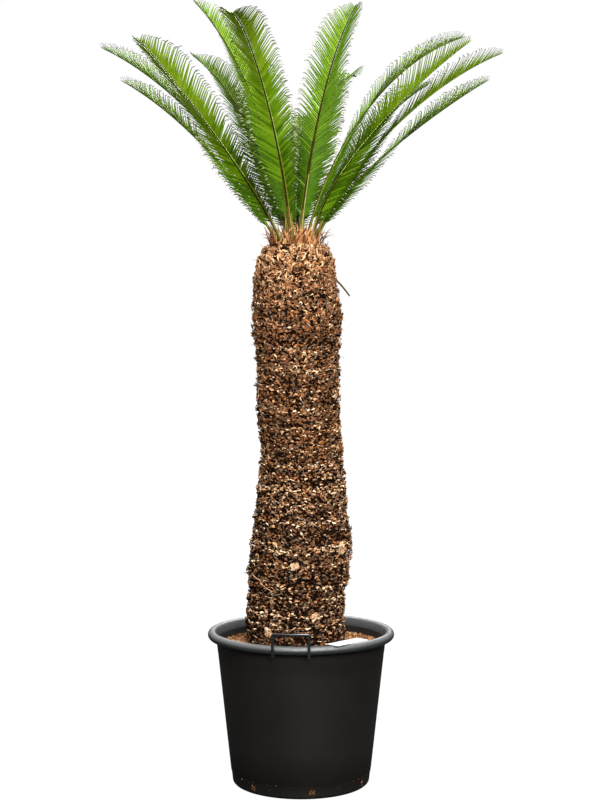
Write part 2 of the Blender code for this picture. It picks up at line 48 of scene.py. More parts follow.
# Pot, as in the part's source.
POT_HEIGHT = 0.410
POT_FOOT_RADIUS = 0.1843
POT_TAPER = 0.1102
POT_WALL = 0.0036
POT_FLOOR = 0.005
POT_EDGE = 0.0100
STEP_HEIGHT = 0.035
STEP_DEPTH = 0.0014
RIM_TUBE_RADIUS = 0.0117
RIM_OUTER_RADIUS = 0.250
RIM_CENTRE_RADIUS = RIM_OUTER_RADIUS - RIM_TUBE_RADIUS
RIM_CENTRE_HEIGHT = POT_HEIGHT - RIM_TUBE_RADIUS
RIM_LOW = RIM_CENTRE_HEIGHT - RIM_TUBE_RADIUS
POT_SIDES = 192
POT_SMOOTH_ANGLE = 40
BAND_LINE_HEIGHT = 0.352
BAND_LINE_DEPTH = 0.0005
DRAIN_COUNT = 7
DRAIN_RADIUS = 0.0085
DRAIN_HEIGHT = 0.0190
DRAIN_FIRST_HEADING = -132.4

# Soil.
SOIL_TOP = 0.376
SOIL_EDGE_DROP = 0.007
SOIL_FLAT_RADIUS = 0.150
SOIL_RINGS = 46
SOIL_SIDES = 180
CRUMB_COUNT = 5400
PLUG_GRAINS = 70
LEDGE_SPECKS = 1100
WALL_SPECKS = 110

# Handles and tag.
HANDLE_WIDTH = 0.100
HANDLE_TOP = 0.4445
HANDLE_FOOT = 0.3815
HANDLE_BEND = 0.0045
HANDLE_BAR = 0.0075
HANDLE_THICKNESS = 0.0045
HANDLE_HEADING = -96.0
HANDLE_RADIUS = RIM_OUTER_RADIUS + GAP
TAG_SIZE = (0.114, 0.038, 0.0012)
TAG_COLUMNS = 24
TAG_ROWS = 6
TAG_LIFT = 0.0004
TAG_CENTRE = (0.1194, -0.1858)
TAG_TURN = 44.8

# Trunk: height, radius and sideways lean of its middle, from the soil up.
TRUNK_STATIONS = (
    (0.376, 0.131, -0.012),
    (0.455, 0.131, -0.015),
    (0.510, 0.130, -0.011),
    (0.565, 0.136, -0.006),
    (0.640, 0.135, 0.003),
    (0.755, 0.120, 0.000),
    (0.890, 0.109, 0.001),
    (1.000, 0.110, -0.008),
    (1.130, 0.110, -0.008),
    (1.235, 0.120, -0.009),
    (1.345, 0.110, -0.016),
    (1.395, 0.101, -0.016),
    (1.420, 0.090, -0.013),
    (1.434, 0.083, -0.013),
)
TRUNK_BASE = SOIL_TOP + GAP
TRUNK_TOP = TRUNK_STATIONS[-1][0]
CROWN_X = TRUNK_STATIONS[-1][2]
BARK_DEPTH = 0.010
BOSSES_ROUND = 11
BOSS_PITCH = 0.0706
BOSS_HEIGHT = 0.0105
BOSS_BLUNTNESS = 0.65
BOSS_EASE = 0.030
BOSS_TURN = 0.4
BOSS_SHIFT = 0.72

# What lies on the trunk. Leaf bases and curls come in two pieces each, low and high.
CORE_RINGS = 150
CORE_SIDES = 120
CORE_ROUGHNESS = 0.0015625
CORE_AXIS_X = -0.008
ROWS_TOP = 1.385
BASES_TOP = 1.395
BASES_SPLIT = 0.86
# Curls: piece, from and to which height, and how many.
CURLS = (("low", TRUNK_BASE + 0.006, 0.88, 4300), ("high", 0.88, 1.39, 5600))
LUMPS_IN_A_ROW = 66
LOOSE_LUMPS = 520
CHIP_COUNT = 1900
FIBRE_COUNT = 1500
SPIKE_COUNT = 60
WOOL_COUNT = 3000
HUSK_COUNT = 230
HUSK_CLUMPS = 21
CROWN_FIBRE_COUNT = 30
BARK_TONES = 6
DARK, BROWN, RUST, GREY, TAN, PALE = range(BARK_TONES)

# Lighter rows of worn bases, from the soil up: height, and how plainly the row shows.
LIGHT_ROWS = (
    (0.437, 0.4), (0.464, 0.6), (0.505, 0.5), (0.540, 0.5), (0.597, 0.9), (0.632, 1.0),
    (0.645, 1.0), (0.707, 0.8), (0.754, 0.6), (0.787, 1.0), (0.796, 0.7), (0.821, 0.5),
    (0.853, 0.8), (0.897, 0.4), (0.949, 0.5), (0.998, 0.4), (1.050, 0.6), (1.107, 0.4),
    (1.159, 0.4), (1.221, 0.4), (1.273, 0.6),
)
LIGHT_ROW_HALF = 0.0085

# Paler worn patches: heading in degrees, height and radius.
PALE_PATCHES = (
    (-40.0, 0.636, 0.0165), (-95.0, 0.596, 0.0085), (-68.0, 0.460, 0.0095),
    (-124.0, 0.418, 0.0110), (62.0, 0.700, 0.0140), (125.0, 0.560, 0.0120),
    (170.0, 0.830, 0.0100), (20.0, 0.480, 0.0110),
)

# Dead stalk.
STALK_HEADING = -16.0
STALK_HEIGHT = 1.347
STALK_LENGTH = 0.056
STALK_RADIUS = 0.0028
STALK_RINGS = 15

# Fronds: name, heading, rise at the foot, bend towards the tip, sideways sway,
# extra steepness of the stalk (all in degrees), length along the rib, and how
# long its leaflets are against the usual.
FRONDS = (
    ("frond_left_high", 167, 53, 27, -6, 17, 0.785, 1.0),
    ("frond_left_low", 177, 51, 22, -20, 12, 0.650, 0.90),
    ("frond_front_left", -133, 40, 19, 17, 18, 0.755, 0.90),
    ("frond_tall_left", 141, 72, 32, -4, 7, 0.814, 1.0),
    ("frond_front", -113, 58, 68, 16, 27, 0.837, 0.84),
    ("frond_tall_right", 61, 72, 29, 2, 8, 0.813, 1.0),
    ("frond_front_right", -34, 48, 13, 23, 34, 0.687, 1.0),
    ("frond_right_high", 17, 65, 46, -2, 14, 0.770, 0.94),
    ("frond_right_middle", -8, 52, 30, 8, 18, 0.735, 0.94),
    ("frond_right_low", 13, 41, 10, 3, 34, 0.695, 0.94),
    ("frond_back_left", 126, 58, 28, 4, 22, 0.753, 0.94),
    ("frond_back_arched", 68, 64, 63, 6, 13, 0.824, 0.84),
    ("frond_back_right_low", 45, 50, 24, 0, 17, 0.720, 0.94),
    ("frond_back_low_right", 88, 44, 22, 0, 17, 0.700, 0.94),
    ("frond_back_low_left", 108, 46, 24, 0, 17, 0.700, 0.94),
    ("frond_back_middle", 113, 63, 36, 0, 17, 0.750, 1.0),
)
FOOT_OUTER = 0.050
FOOT_INNER = 0.016
FOOT_SPACING = 0.0165
FOOT_PUSHES = 400
LOW_RISE = 44.0
STEEP_RISE = 72.0
RIB_FOOT_WIDTH = 0.012
RIB_TIP_WIDTH = 0.0034
PATH_STEPS = 120
BLADE_START = 0.10
BLADE_END = 0.985
LEAFLET_LONGEST = 0.100
LEAFLET_GROWN_AT = 0.34
LEAFLET_TAPERS_FROM = 0.72
FOLD_AT_FOOT = -28.0
FOLD_AT_TIP = 31.0
FOLD_CLOSED_AT = 0.72
SWEEP_AT_FOOT = 52.0
SWEEP_AT_TIP = 40.0
CURL_AT_FOOT = 4.0
CURL_AT_TIP = 6.0

RIB_STEPS = 110
# A rib's section: points across and above its middle, in shares of the rib's width.
RIB_SECTION = (
    (-0.50, -0.04), (-0.46, -0.26), (-0.32, -0.44), (0.0, -0.54), (0.32, -0.44), (0.46, -0.26),
    (0.50, -0.04), (0.30, 0.10), (0.14, 0.30), (-0.14, 0.30), (-0.30, 0.10),
)
RIB_LINE_FACES = (2, 3, 7, 8, 9)
RIB_GROOVE_FACES = (6, 10)
RIB_GREEN, RIB_OLIVE, RIB_LINE, RIB_FOOT_LINE = range(4)

# Finer leaflets than the source's.
LEAFLET_PITCH = 0.0078
LEAFLET_WIDTH = 0.0062
LEAFLET_PLACES = (0.0, 0.08, 0.20, 0.34, 0.50, 0.65, 0.78, 0.87, 0.94, 1.0)
LEAFLET_TAPER = (0.80, 1.0, 1.0, 0.88, 0.66, 0.52, 0.46, 0.42, 0.36, 0.10)
LEAFLET_HOOK = 105.0
LEAFLET_TWIST = 13.0
LEAF_BRIGHT, LEAF_GREEN, LEAF_DEEP, LEAF_DARK, LEAF_GLOSS_AND_SHEEN, LEAF_TIP, LEAF_TIP_PALE = range(7)
# Painted shade: the look of one of a leaflet's two upper faces, darker as if shaded by its
# neighbour, for each look that the leaflet can have.
LEAF_PAINTED_SHADE = (LEAF_DEEP, LEAF_DARK, LEAF_DARK, LEAF_DARK, LEAF_GLOSS_AND_SHEEN, LEAF_TIP, LEAF_TIP_PALE)
# How many tones darker than the rest a frond is.
FROND_SHADE = {
    "frond_tall_right": 0.4,
    "frond_left_high": 0.4,
    "frond_right_high": 0.3,
    "frond_tall_left": -0.2,
}

# Looks: two shades in display levels, roughness, grain, relief, grain of the relief, and gloss.
# The first word of a name is the look's family.
LOOKS = (
    ("pot_black", (19, 17, 15), (24, 22, 19), 0.50, 5, 0.25, 900, 0.30),
    # The rim's lighter grey is partly dust and partly a painted highlight.
    ("pot_rim", (24, 26, 27), (58, 61, 61), 0.30, 420, 0.8, 900, 1.0),
    ("soil_dark", (38, 23, 13), (68, 45, 28), 0.95, 160, 0.6, 500, 0.05),
    ("soil_brown", (112, 76, 50), (144, 101, 68), 0.95, 160, 0.6, 500, 0.08),
    ("soil_red", (150, 102, 66), (180, 128, 86), 0.95, 160, 0.6, 500, 0.08),
    ("soil_tan", (192, 148, 100), (218, 176, 128), 0.95, 160, 0.6, 500, 0.1),
    ("handle_black", (16, 17, 17), (26, 27, 28), 0.24, 30, 0.2, 700, 1.0),
    ("tag_white", (242, 242, 240), (253, 253, 252), 0.5, 30, 0.08, 300, 0.5),
    ("bark_dark", (14, 7, 3), (38, 22, 12), 0.95, 220, 0.7, 900, 0.05),
    ("bark_brown", (96, 65, 42), (130, 91, 60), 0.92, 220, 0.7, 900, 0.08),
    ("bark_rust", (140, 86, 50), (176, 113, 70), 0.92, 220, 0.7, 900, 0.08),
    ("bark_grey", (96, 80, 66), (134, 114, 94), 0.92, 220, 0.7, 900, 0.08),
    ("bark_tan", (192, 144, 100), (220, 172, 126), 0.9, 220, 0.6, 900, 0.12),
    ("bark_pale", (236, 200, 158), (250, 222, 186), 0.88, 220, 0.5, 900, 0.15),
    ("wool_shadow", (24, 10, 4), (54, 28, 14), 0.95, 200, 0.7, 900, 0.05),
    ("wool_brown", (134, 88, 56), (162, 111, 74), 0.95, 200, 0.7, 900, 0.08),
    ("wool_tan", (164, 119, 80), (188, 141, 98), 0.93, 200, 0.6, 900, 0.12),
    ("wool_pale", (204, 162, 117), (226, 186, 143), 0.92, 200, 0.5, 900, 0.12),
    ("husk_shadow", (84, 48, 24), (112, 68, 38), 0.85, 160, 0.5, 700, 0.1),
    ("husk_tan", (138, 90, 52), (162, 109, 66), 0.85, 160, 0.5, 700, 0.1),
    ("husk_salmon", (184, 127, 80), (208, 154, 104), 0.85, 160, 0.5, 700, 0.1),
    ("stalk_brown", (52, 31, 17), (84, 54, 33), 0.85, 90, 0.5, 500, 0.08),
    ("leaf_bright", (103, 130, 20), (117, 144, 30), 0.45, 40, 0.15, 500, 0.12),
    ("leaf_green", (90, 119, 12), (104, 133, 20), 0.45, 40, 0.15, 500, 0.12),
    ("leaf_deep", (74, 105, 5), (88, 119, 10), 0.5, 40, 0.15, 500, 0.08),
    ("leaf_dark", (46, 75, 2), (60, 91, 6), 0.5, 40, 0.15, 500, 0.06),
    # Glossier than the other greens, and paler: real gloss, with a painted sheen in its colour.
    ("leaf_gloss", (100, 138, 34), (118, 154, 56), 0.32, 40, 0.10, 500, 0.5),
    ("leaf_tip", (36, 46, 14), (66, 76, 28), 0.6, 40, 0.15, 500, 0.2),
    ("leaf_tip_pale", (140, 140, 112), (178, 176, 150), 0.6, 40, 0.15, 500, 0.2),
    ("rib_green", (140, 168, 78), (168, 190, 104), 0.42, 60, 0.15, 500, 0.2),
    ("rib_olive", (98, 104, 30), (120, 124, 44), 0.45, 60, 0.15, 500, 0.2),
    ("rib_line", (34, 29, 3), (50, 42, 8), 0.7, 60, 0.2, 500, 0.02),
    ("rib_foot_line", (70, 58, 14), (92, 78, 26), 0.6, 60, 0.2, 500, 0.1),
)
SHADE_ENDS = (0.36, 0.64)

# Lamps: name, place, aim, size and power. The one named crown is a spot, the others are areas.
LAMPS = (
    ("key", (0.8, -4.1, 2.9), (0.0, 0.0, 1.0), 2.0, 360.0),
    ("high", (0.1, -1.0, 5.2), (0.0, 0.0, 1.2), 3.4, 150.0),
    ("back", (0.3, 3.4, 3.6), (0.0, 0.0, 1.2), 1.4, 140.0),
    ("crown", (-1.3, -3.2, 0.15), (-0.05, 0.0, 2.0), 0.7, 420.0),
)
# Light from all round: the axis it changes along, from and to where, and from and to how much.
FILL = ("Y", -1.0, 1.0, 0.50, 0.06)
SHEEN = ("Z", 0.04, 0.60, 0.06, 2.20)
SPOT_ANGLE = 32
SPOT_BLEND = 0.6
FLOOR_RADIUS = 30.0
FLOOR_SIDES = 96

# Camera, as fitted to the pot's rim: its tilt in radians, its lens and sensor in millimetres.
CAMERA_PLACE = (-0.0027, -4.0, 1.156)
CAMERA_TILT = 0.0326
CAMERA_LENS = 67.32
CAMERA_SENSOR = 36.0
CAMERA_REACH = 100.0


# ---- Looks


def linear(level):
    level = level / 255
    return level / 12.92 if level <= 0.04045 else ((level + 0.055) / 1.055) ** 2.4


def colour(red, green, blue):
    """Display levels from 0 to 255 as a linear colour."""
    return (linear(red), linear(green), linear(blue), 1.0)


def feed(node, values):
    """Sets a node's inputs, each to a plain value or from another node's output."""
    for socket, value in values.items():
        if isinstance(value, bpy.types.NodeSocket):
            node.id_data.links.new(value, node.inputs[socket])
        else:
            node.inputs[socket].default_value = value


def new_node(tree, kind, values):
    node = tree.nodes.new("ShaderNode" + kind)
    feed(node, values)
    return node


def look(name, dark, light, roughness, grain, bump, bump_grain, specular):
    """A surface whose colour drifts between two shades, with a fine relief of its own."""
    made = bpy.data.materials.new(name)
    made.use_nodes = True
    tree = made.node_tree
    place = new_node(tree, "TexCoord", {}).outputs["Object"]
    cloud = new_node(
        tree, "TexNoise", {"Vector": place, "Scale": grain, "Detail": 5.0, "Roughness": 0.6}
    )
    ramp = new_node(tree, "ValToRGB", {"Fac": cloud.outputs["Fac"]})
    for end, position, shade in zip(ramp.color_ramp.elements, SHADE_ENDS, (dark, light)):
        end.position = position
        end.color = colour(*shade)
    fine = new_node(tree, "TexNoise", {"Vector": place, "Scale": bump_grain, "Detail": 4.0})
    relief = {"Height": fine.outputs["Fac"], "Strength": bump, "Distance": 0.001}
    values = {
        "Base Color": ramp.outputs["Color"],
        "Normal": new_node(tree, "Bump", relief).outputs["Normal"],
        "Roughness": roughness,
        "Specular IOR Level": specular,
    }
    feed(tree.nodes["Principled BSDF"], values)
    made.diffuse_color = colour(*((first + second) / 2 for first, second in zip(dark, light)))
    return made


def look_families():
    families = {}
    for row in LOOKS:
        families.setdefault(row[0].split("_")[0], []).append(look(*row))
    return families


# ---- Pieces and their points


def placed(name, data):
    item = bpy.data.objects.new(name, data)
    bpy.context.scene.collection.objects.link(item)
    return item


def smoothed(mesh, degrees):
    """Smooth shading that stops at edges sharper than this."""
    mesh.shade_smooth()
    mesh.set_sharp_from_angle(angle=math.radians(degrees))


def mesh_piece(name, points, faces, looks, dealt=None, smooth_angle=None):
    """An object from arrays of points and of faces; dealt gives the look of each face."""
    points = np.asarray(points, np.float32).reshape(-1, 3)
    faces = [np.asarray(group, np.int64) for group in faces]
    volume = 0.0
    for group in faces:
        spot = points[group].astype(float)
        for step in range(1, group.shape[1] - 1):
            volume += np.einsum("ij,ij->", spot[:, 0], np.cross(spot[:, step], spot[:, step + 1]))
    if volume < 0:
        faces = [group[:, ::-1] for group in faces]
    loops = np.concatenate([group.ravel() for group in faces])
    totals = np.concatenate([np.full(len(group), group.shape[1]) for group in faces])
    starts = np.concatenate([[0], np.cumsum(totals)[:-1]])
    mesh = bpy.data.meshes.new(name)
    mesh.vertices.add(len(points))
    mesh.vertices.foreach_set("co", points.ravel())
    mesh.loops.add(len(loops))
    mesh.loops.foreach_set("vertex_index", loops.astype(np.int32))
    mesh.polygons.add(len(totals))
    mesh.polygons.foreach_set("loop_start", starts.astype(np.int32))
    for item in looks:
        mesh.materials.append(item)
    if dealt is not None:
        mesh.polygons.foreach_set("material_index", np.asarray(dealt, np.int32))
    mesh.update(calc_edges=True)
    mesh.validate()
    if smooth_angle is None:
        mesh.shade_flat()
    else:
        smoothed(mesh, smooth_angle)
    return placed(name, mesh)


def settle(piece, slot, *nodes):
    """The piece rides on the plant's one body and stands for the nodes that it replaces."""
    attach(piece, "root")
    if nodes:
        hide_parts(*nodes)


def unit(vectors):
    return vectors / np.maximum(np.linalg.norm(vectors, axis=-1, keepdims=True), 1e-12)


def swung(first, second, angle):
    """Two directions at right angles, both turned from the first towards the second."""
    cos, sin = np.cos(angle), np.sin(angle)
    return first * cos + second * sin, second * cos - first * sin


def eased(share):
    return share * share * (3 - 2 * share)


def round_angles(sides):
    return np.arange(sides) * FULL_TURN / sides


def spots(radius, angle, height, middle=0.0):
    """Points at these radii and angles round an upright line, which may stand off sideways."""
    x, y = middle + radius * np.cos(angle), radius * np.sin(angle)
    return np.stack(np.broadcast_arrays(x, y, height), axis=-1)


def outwards(angle):
    """The level directions away from an upright line and round it."""
    cos, sin, level = np.cos(angle), np.sin(angle), np.zeros_like(angle)
    return np.stack([cos, sin, level], axis=-1), np.stack([-sin, cos, level], axis=-1)


def walked(start, hops):
    """The points that each start reaches hop by hop, itself first."""
    steps = np.concatenate([np.zeros_like(hops[:, :1]), np.cumsum(hops, axis=1)], axis=1)
    return start[:, None] + steps


def ring_quads(rings, corners):
    """Quads between rings of points, one row of them for each ring but the last."""
    low = (np.arange(rings - 1) * corners)[:, None]
    side = np.arange(corners)
    after = (side + 1) % corners
    ends = (low + side, low + after, low + corners + after, low + corners + side)
    return np.stack(ends, axis=-1)


def skin(name, rings, looks, smooth_angle, ends=None, falling=False):
    """A closed skin over rings of points, with one more point in the middle of either end."""
    count, corners = rings.shape[:2]
    if ends is None:
        ends = rings[[0, -1]].mean(axis=1)
    side = np.arange(corners)
    after = (side + 1) % corners
    last = (count - 1) * corners
    centre = np.full(corners, count * corners)
    caps = [(centre, after, side), (centre + 1, last + side, last + after)]
    caps = np.concatenate([np.stack(cap, axis=1) for cap in caps])
    quads = ring_quads(count, corners).reshape(-1, 4)
    if falling:
        quads, caps = quads[:, [0, 3, 2, 1]], caps[:, ::-1]
    points = np.concatenate([rings.reshape(-1, 3), ends])
    return mesh_piece(name, points, [quads, caps], looks, None, smooth_angle)


def copies(form, shake, centres, axes):
    """Shaken copies of a small closed form, one for each centre and its three scaled axes."""
    corners, faces = form
    points = np.einsum("nkj,nji->nki", corners + shake, axes) + centres[:, None]
    shifts = (np.arange(len(centres)) * len(corners))[:, None, None]
    return points, [(group[None] + shifts).reshape(-1, group.shape[1]) for group in faces]


def strip_piece(
    name, lines, looks, kinds, cup=0.15, smooth_angle=70, tips=None, tip_stations=0, painted_shade_looks=None
):
    """Closed four-sided blades along (count, stations) middle lines, with a cap at either end."""
    path, across, above, widths, thicks = lines
    half = across * widths[..., None] / 2
    droop = above * (widths * cup)[..., None]
    under = path - above * (thicks + widths * cup)[..., None]
    rings = np.stack([path - half - droop, under, path + half - droop, path], axis=2)
    count, stations = path.shape[:2]
    base = (np.arange(count) * stations * 4)[:, None]
    quads = base[:, None, None] + ring_quads(stations, 4)
    caps = [base + (3, 2, 1, 0), base + (stations - 1) * 4 + (0, 1, 2, 3)]
    dealt = np.repeat(kinds, (stations - 1) * 4).reshape(count, stations - 1, 4)
    ends = kinds
    if tip_stations:
        dealt[:, -tip_stations:] = tips[:, None, None]
        ends = tips
    # Painted shade: one upper face of each blade takes the darker look given for its own.
    if painted_shade_looks:
        dealt[..., 3] = np.array(painted_shade_looks)[dealt[..., 3]]
    faces = np.concatenate([quads.reshape(-1, 4), *caps])
    dealt = np.concatenate([dealt.ravel(), kinds, ends])
    return mesh_piece(name, rings, [faces], looks, dealt, smooth_angle)


def curved_strips(chance, start, heading, above, length, width, bend, stations, thick, curl=0.0):
    """Middle lines and directions of thin strips that bend towards above as they grow."""
    share = np.linspace(0, 1, stations)
    side = unit(np.cross(heading, above))
    above = np.cross(side, heading)
    angle = bend[:, None] * share**1.3
    drift = curl * chance.normal(0, 1, len(start))[:, None] * share**1.5
    way, normal = swung(heading[:, None], above[:, None], angle[..., None])
    way = unit(way + side[:, None] * drift[..., None])
    path = walked(start, way[:, :-1] * (length / (stations - 1))[:, None, None])
    across = unit(np.cross(way, normal))
    profile = np.minimum(1.0, 0.7 + 2.0 * share) * np.clip((1 - share) / 0.62, 0.03, 1) ** 0.8
    widths = width[:, None] * profile
    thicks = np.full_like(widths, thick) * np.clip(profile * 2, 0.3, 1)
    return path, across, np.cross(across, way), widths, thicks


def curls(point, out, side, rise, length, thick, arch, roll, stations=4):
    """Middle lines and directions of short ridges, each arched across its own middle."""
    share = np.linspace(0, 1, stations)
    along, upwards = swung(side, rise, roll[:, None])
    reach = (share - 0.5) * length[:, None]
    height = (1 - (2 * share - 1) ** 2) * (arch * length)[:, None]
    proud = (np.sin(np.pi * share) - 0.3) * (thick * 1.3)[:, None]
    path = point[:, None] + along[:, None] * reach[..., None]
    path = path + upwards[:, None] * height[..., None] + out[:, None] * proud[..., None]
    normal = np.broadcast_to(out[:, None], path.shape)
    across = unit(np.cross(np.gradient(path, axis=1), normal))
    width = np.sin(np.pi * (0.13 + 0.74 * share)) * thick[:, None]
    return path, across, normal, width, width


# ---- Pot


def wall_radius(height):
    return POT_FOOT_RADIUS + POT_TAPER * height


def arc(x, y, size, first, last, count):
    """Points of a part circle, its angles in degrees."""
    for step in range(count):
        angle = math.radians(first + (last - first) * step / (count - 1))
        yield x + size * math.cos(angle), y + size * math.sin(angle)


def pot_profile():
    """Radius and height along the skin, from under the foot over the rim to the inner floor."""
    ledge = wall_radius(STEP_HEIGHT)
    line = wall_radius(BAND_LINE_HEIGHT)
    return [
        *arc(wall_radius(POT_EDGE) - STEP_DEPTH - POT_EDGE, POT_EDGE, POT_EDGE, -90, 0, 9),
        (ledge - STEP_DEPTH, STEP_HEIGHT - 0.0004),
        (ledge - STEP_DEPTH + 0.0002, STEP_HEIGHT),
        (ledge - 0.0003, STEP_HEIGHT + STEP_DEPTH * 0.8),
        (ledge + 0.0001, STEP_HEIGHT + STEP_DEPTH * 1.2),
        *((wall_radius(height), height) for height in (0.12, 0.22, 0.31)),
        (line, BAND_LINE_HEIGHT - 0.0010),
        (line + BAND_LINE_DEPTH, BAND_LINE_HEIGHT + 0.0006),
        (wall_radius(RIM_LOW) + BAND_LINE_DEPTH * 0.5, RIM_LOW - GAP),
        *arc(RIM_CENTRE_RADIUS, RIM_CENTRE_HEIGHT, RIM_TUBE_RADIUS, -120, 150, 25),
        (wall_radius(RIM_LOW) - POT_WALL, RIM_LOW),
        (wall_radius(POT_FLOOR) - POT_WALL, POT_FLOOR),
    ]


def drain_headings():
    first = math.radians(DRAIN_FIRST_HEADING)
    return [first + FULL_TURN * index / DRAIN_COUNT for index in range(DRAIN_COUNT)]


def drain_cutter():
    built = bmesh.new()
    size = {"radius1": DRAIN_RADIUS, "radius2": DRAIN_RADIUS, "depth": 0.030}
    for heading in drain_headings():
        place = Matrix.Rotation(heading, 4, "Z")
        place @= Matrix.Translation((wall_radius(DRAIN_HEIGHT), 0, DRAIN_HEIGHT))
        place @= Matrix.Rotation(math.pi / 2, 4, "Y")
        bmesh.ops.create_cone(built, cap_ends=True, segments=28, matrix=place, **size)
    mesh = bpy.data.meshes.new("drain_cutter")
    built.to_mesh(mesh)
    built.free()
    return placed("drain_cutter", mesh)


def make_pot(looks):
    """The pot, its rim in a lighter grey look of its own, part dust and part painted highlight,
    with the drain holes cut through its wall.
    """
    profile = np.array(pot_profile())
    rings = spots(profile[:, :1], round_angles(POT_SIDES), profile[:, 1:])
    pot = skin("pot_shell", rings, looks, POT_SMOOTH_ANGLE, [(0, 0, 0), (0, 0, POT_FLOOR)])
    for face in pot.data.polygons:
        # Dust and painted highlight: the rim's faces take the lighter grey look.
        if face.center.z > RIM_LOW and Vector(face.center.xy).length > 0.19:
            face.material_index = 1
    cutter = drain_cutter()
    cut = pot.modifiers.new("drain_holes", "BOOLEAN")
    cut.object = cutter
    cut.operation = "DIFFERENCE"
    cut.solver = "EXACT"
    graph = bpy.context.evaluated_depsgraph_get()
    holed = bpy.data.meshes.new_from_object(pot.evaluated_get(graph))
    pot.modifiers.clear()
    pot.data = holed
    smoothed(holed, POT_SMOOTH_ANGLE)
    bpy.data.objects.remove(cutter, do_unlink=True)
    settle(pot, "pot", "pot")


# ---- Soil


def crumb_form():
    """An eight-cornered lump with a slightly narrower top."""
    square = np.array([(-0.5, -0.5), (0.5, -0.5), (0.5, 0.5), (-0.5, 0.5)])
    layers = [np.insert(square * 0.9, 2, -0.5, axis=1), np.insert(square * 0.75, 2, 0.5, axis=1)]
    return np.concatenate(layers), [np.array([(3, 2, 1, 0), (4, 5, 6, 7), *ring_quads(2, 4)[0]])]


def crumb_piece(name, shake, centres, axes, looks, kinds):
    points, faces = copies(crumb_form(), shake, centres, axes)
    settle(mesh_piece(name, points, faces, looks, np.repeat(kinds, 6)), "soil")


def random_axes(chance, count, sizes):
    """Three scaled axes for each copy, turned at random."""
    first = unit(chance.normal(size=(count, 3)))
    second = unit(np.cross(first, chance.normal(size=(count, 3))))
    return np.stack([first, second, np.cross(first, second)], axis=1) * sizes[..., None]


def soil_height(radius):
    edge = wall_radius(SOIL_TOP) - POT_WALL
    share = np.clip((edge - radius) / (edge - SOIL_FLAT_RADIUS), 0, 1)
    return SOIL_TOP - SOIL_EDGE_DROP * (1 - share)


def make_soil(looks):
    """A rough bed under the crumbs, down to the pot's floor."""
    inner = 0.10
    edge = wall_radius(SOIL_TOP - SOIL_EDGE_DROP) - POT_WALL - 2 * GAP
    radius = (inner + (edge - inner) * np.arange(SOIL_RINGS) / (SOIL_RINGS - 1))[:, None]
    angle = round_angles(SOIL_SIDES)
    bed = spots(radius, angle, soil_height(radius) - 0.0015)
    for spot in bed[:-1].reshape(-1, 3):
        x, y = spot[:2].tolist()
        spot[2] += 0.0030 * noise.noise((x * 60, y * 60, 3.0))
        spot[2] += 0.0020 * noise.noise((x * 190, y * 190, 7.0))
    low = POT_FLOOR + GAP
    floor = spots(wall_radius(low) - POT_WALL - 2 * GAP, angle, low)
    ends = [(0, 0, SOIL_TOP - 0.002), (0, 0, low)]
    piece = skin("soil_bed", np.concatenate([bed, [floor]]), [looks[1]], 60, ends, True)
    settle(piece, "soil", "soil")


def make_crumbs(looks, chance):
    """Chips and crumbs that lie on the bed."""
    count = CRUMB_COUNT
    outer = wall_radius(SOIL_TOP) - POT_WALL - 0.006
    radius = np.sqrt(chance.uniform(0.118**2, outer**2, count))
    angle = chance.uniform(0, FULL_TURN, count)
    centres = spots(radius, angle, soil_height(radius) + chance.uniform(-0.001, 0.0022, count))
    size = chance.uniform(0.0022, 0.0058, count) * (1 + 0.5 * (chance.random(count) > 0.93))
    wide, tall = chance.uniform(0.4, 0.8, count), chance.uniform(0.2, 0.5, count)
    axes = random_axes(chance, count, np.stack([size, size * wide, size * tall], axis=1))
    shake = chance.normal(0, 0.09, (count, 8, 3))
    kinds = chance.choice(4, count, p=(0.24, 0.36, 0.27, 0.13))
    crumb_piece("soil_crumbs", shake, centres, axes, looks, kinds)


def make_drain_plugs(looks, chance):
    """Soil and root ends pressed into the drain holes, and specks along the ledge and wall."""
    grains = []
    for heading in drain_headings():
        for _ in range(PLUG_GRAINS):
            turn = chance.uniform(0, FULL_TURN)
            reach = DRAIN_RADIUS * 0.9 * math.sqrt(chance.random())
            height = DRAIN_HEIGHT + reach * math.sin(turn)
            radius = wall_radius(height) - STEP_DEPTH - 0.0030 + chance.uniform(-0.001, 0.0014)
            place = spots(radius, heading + reach * math.cos(turn) / radius, height)
            grains.append((*place, chance.uniform(0.0016, 0.0042)))
    radius = wall_radius(STEP_HEIGHT) - STEP_DEPTH + 0.0005
    for _ in range(LEDGE_SPECKS):
        angle = chance.uniform(0, FULL_TURN)
        crowd = noise.noise((math.cos(angle) * 9, math.sin(angle) * 9, 1.3))
        if crowd < chance.uniform(-0.6, 0.35):
            continue
        low = chance.random() < 0.16
        drop = abs(chance.normal(0, 0.007)) if low else chance.uniform(-0.0003, 0.0012)
        place = spots(radius, angle, max(STEP_HEIGHT - drop, 0.006))
        grains.append((*place, chance.uniform(0.0006, 0.0015)))
    for _ in range(WALL_SPECKS):
        angle = chance.uniform(0, FULL_TURN)
        height = 0.045 + 0.32 * chance.beta(0.9, 1.3)
        place = spots(wall_radius(height) + 0.0001, angle, height)
        grains.append((*place, chance.uniform(0.0005, 0.0011)))
    grains = np.array(grains)
    count = len(grains)
    shake = chance.normal(0, 0.1, (count, 8, 3))
    axes = random_axes(chance, count, grains[:, 3:] * (1, 0.7, 0.45))
    kinds = chance.choice(4, count, p=(0.84, 0.08, 0.06, 0.02))
    crumb_piece("pot_soil_specks", shake, grains[:, :3], axes, looks, kinds)


# ---- Handles and tag


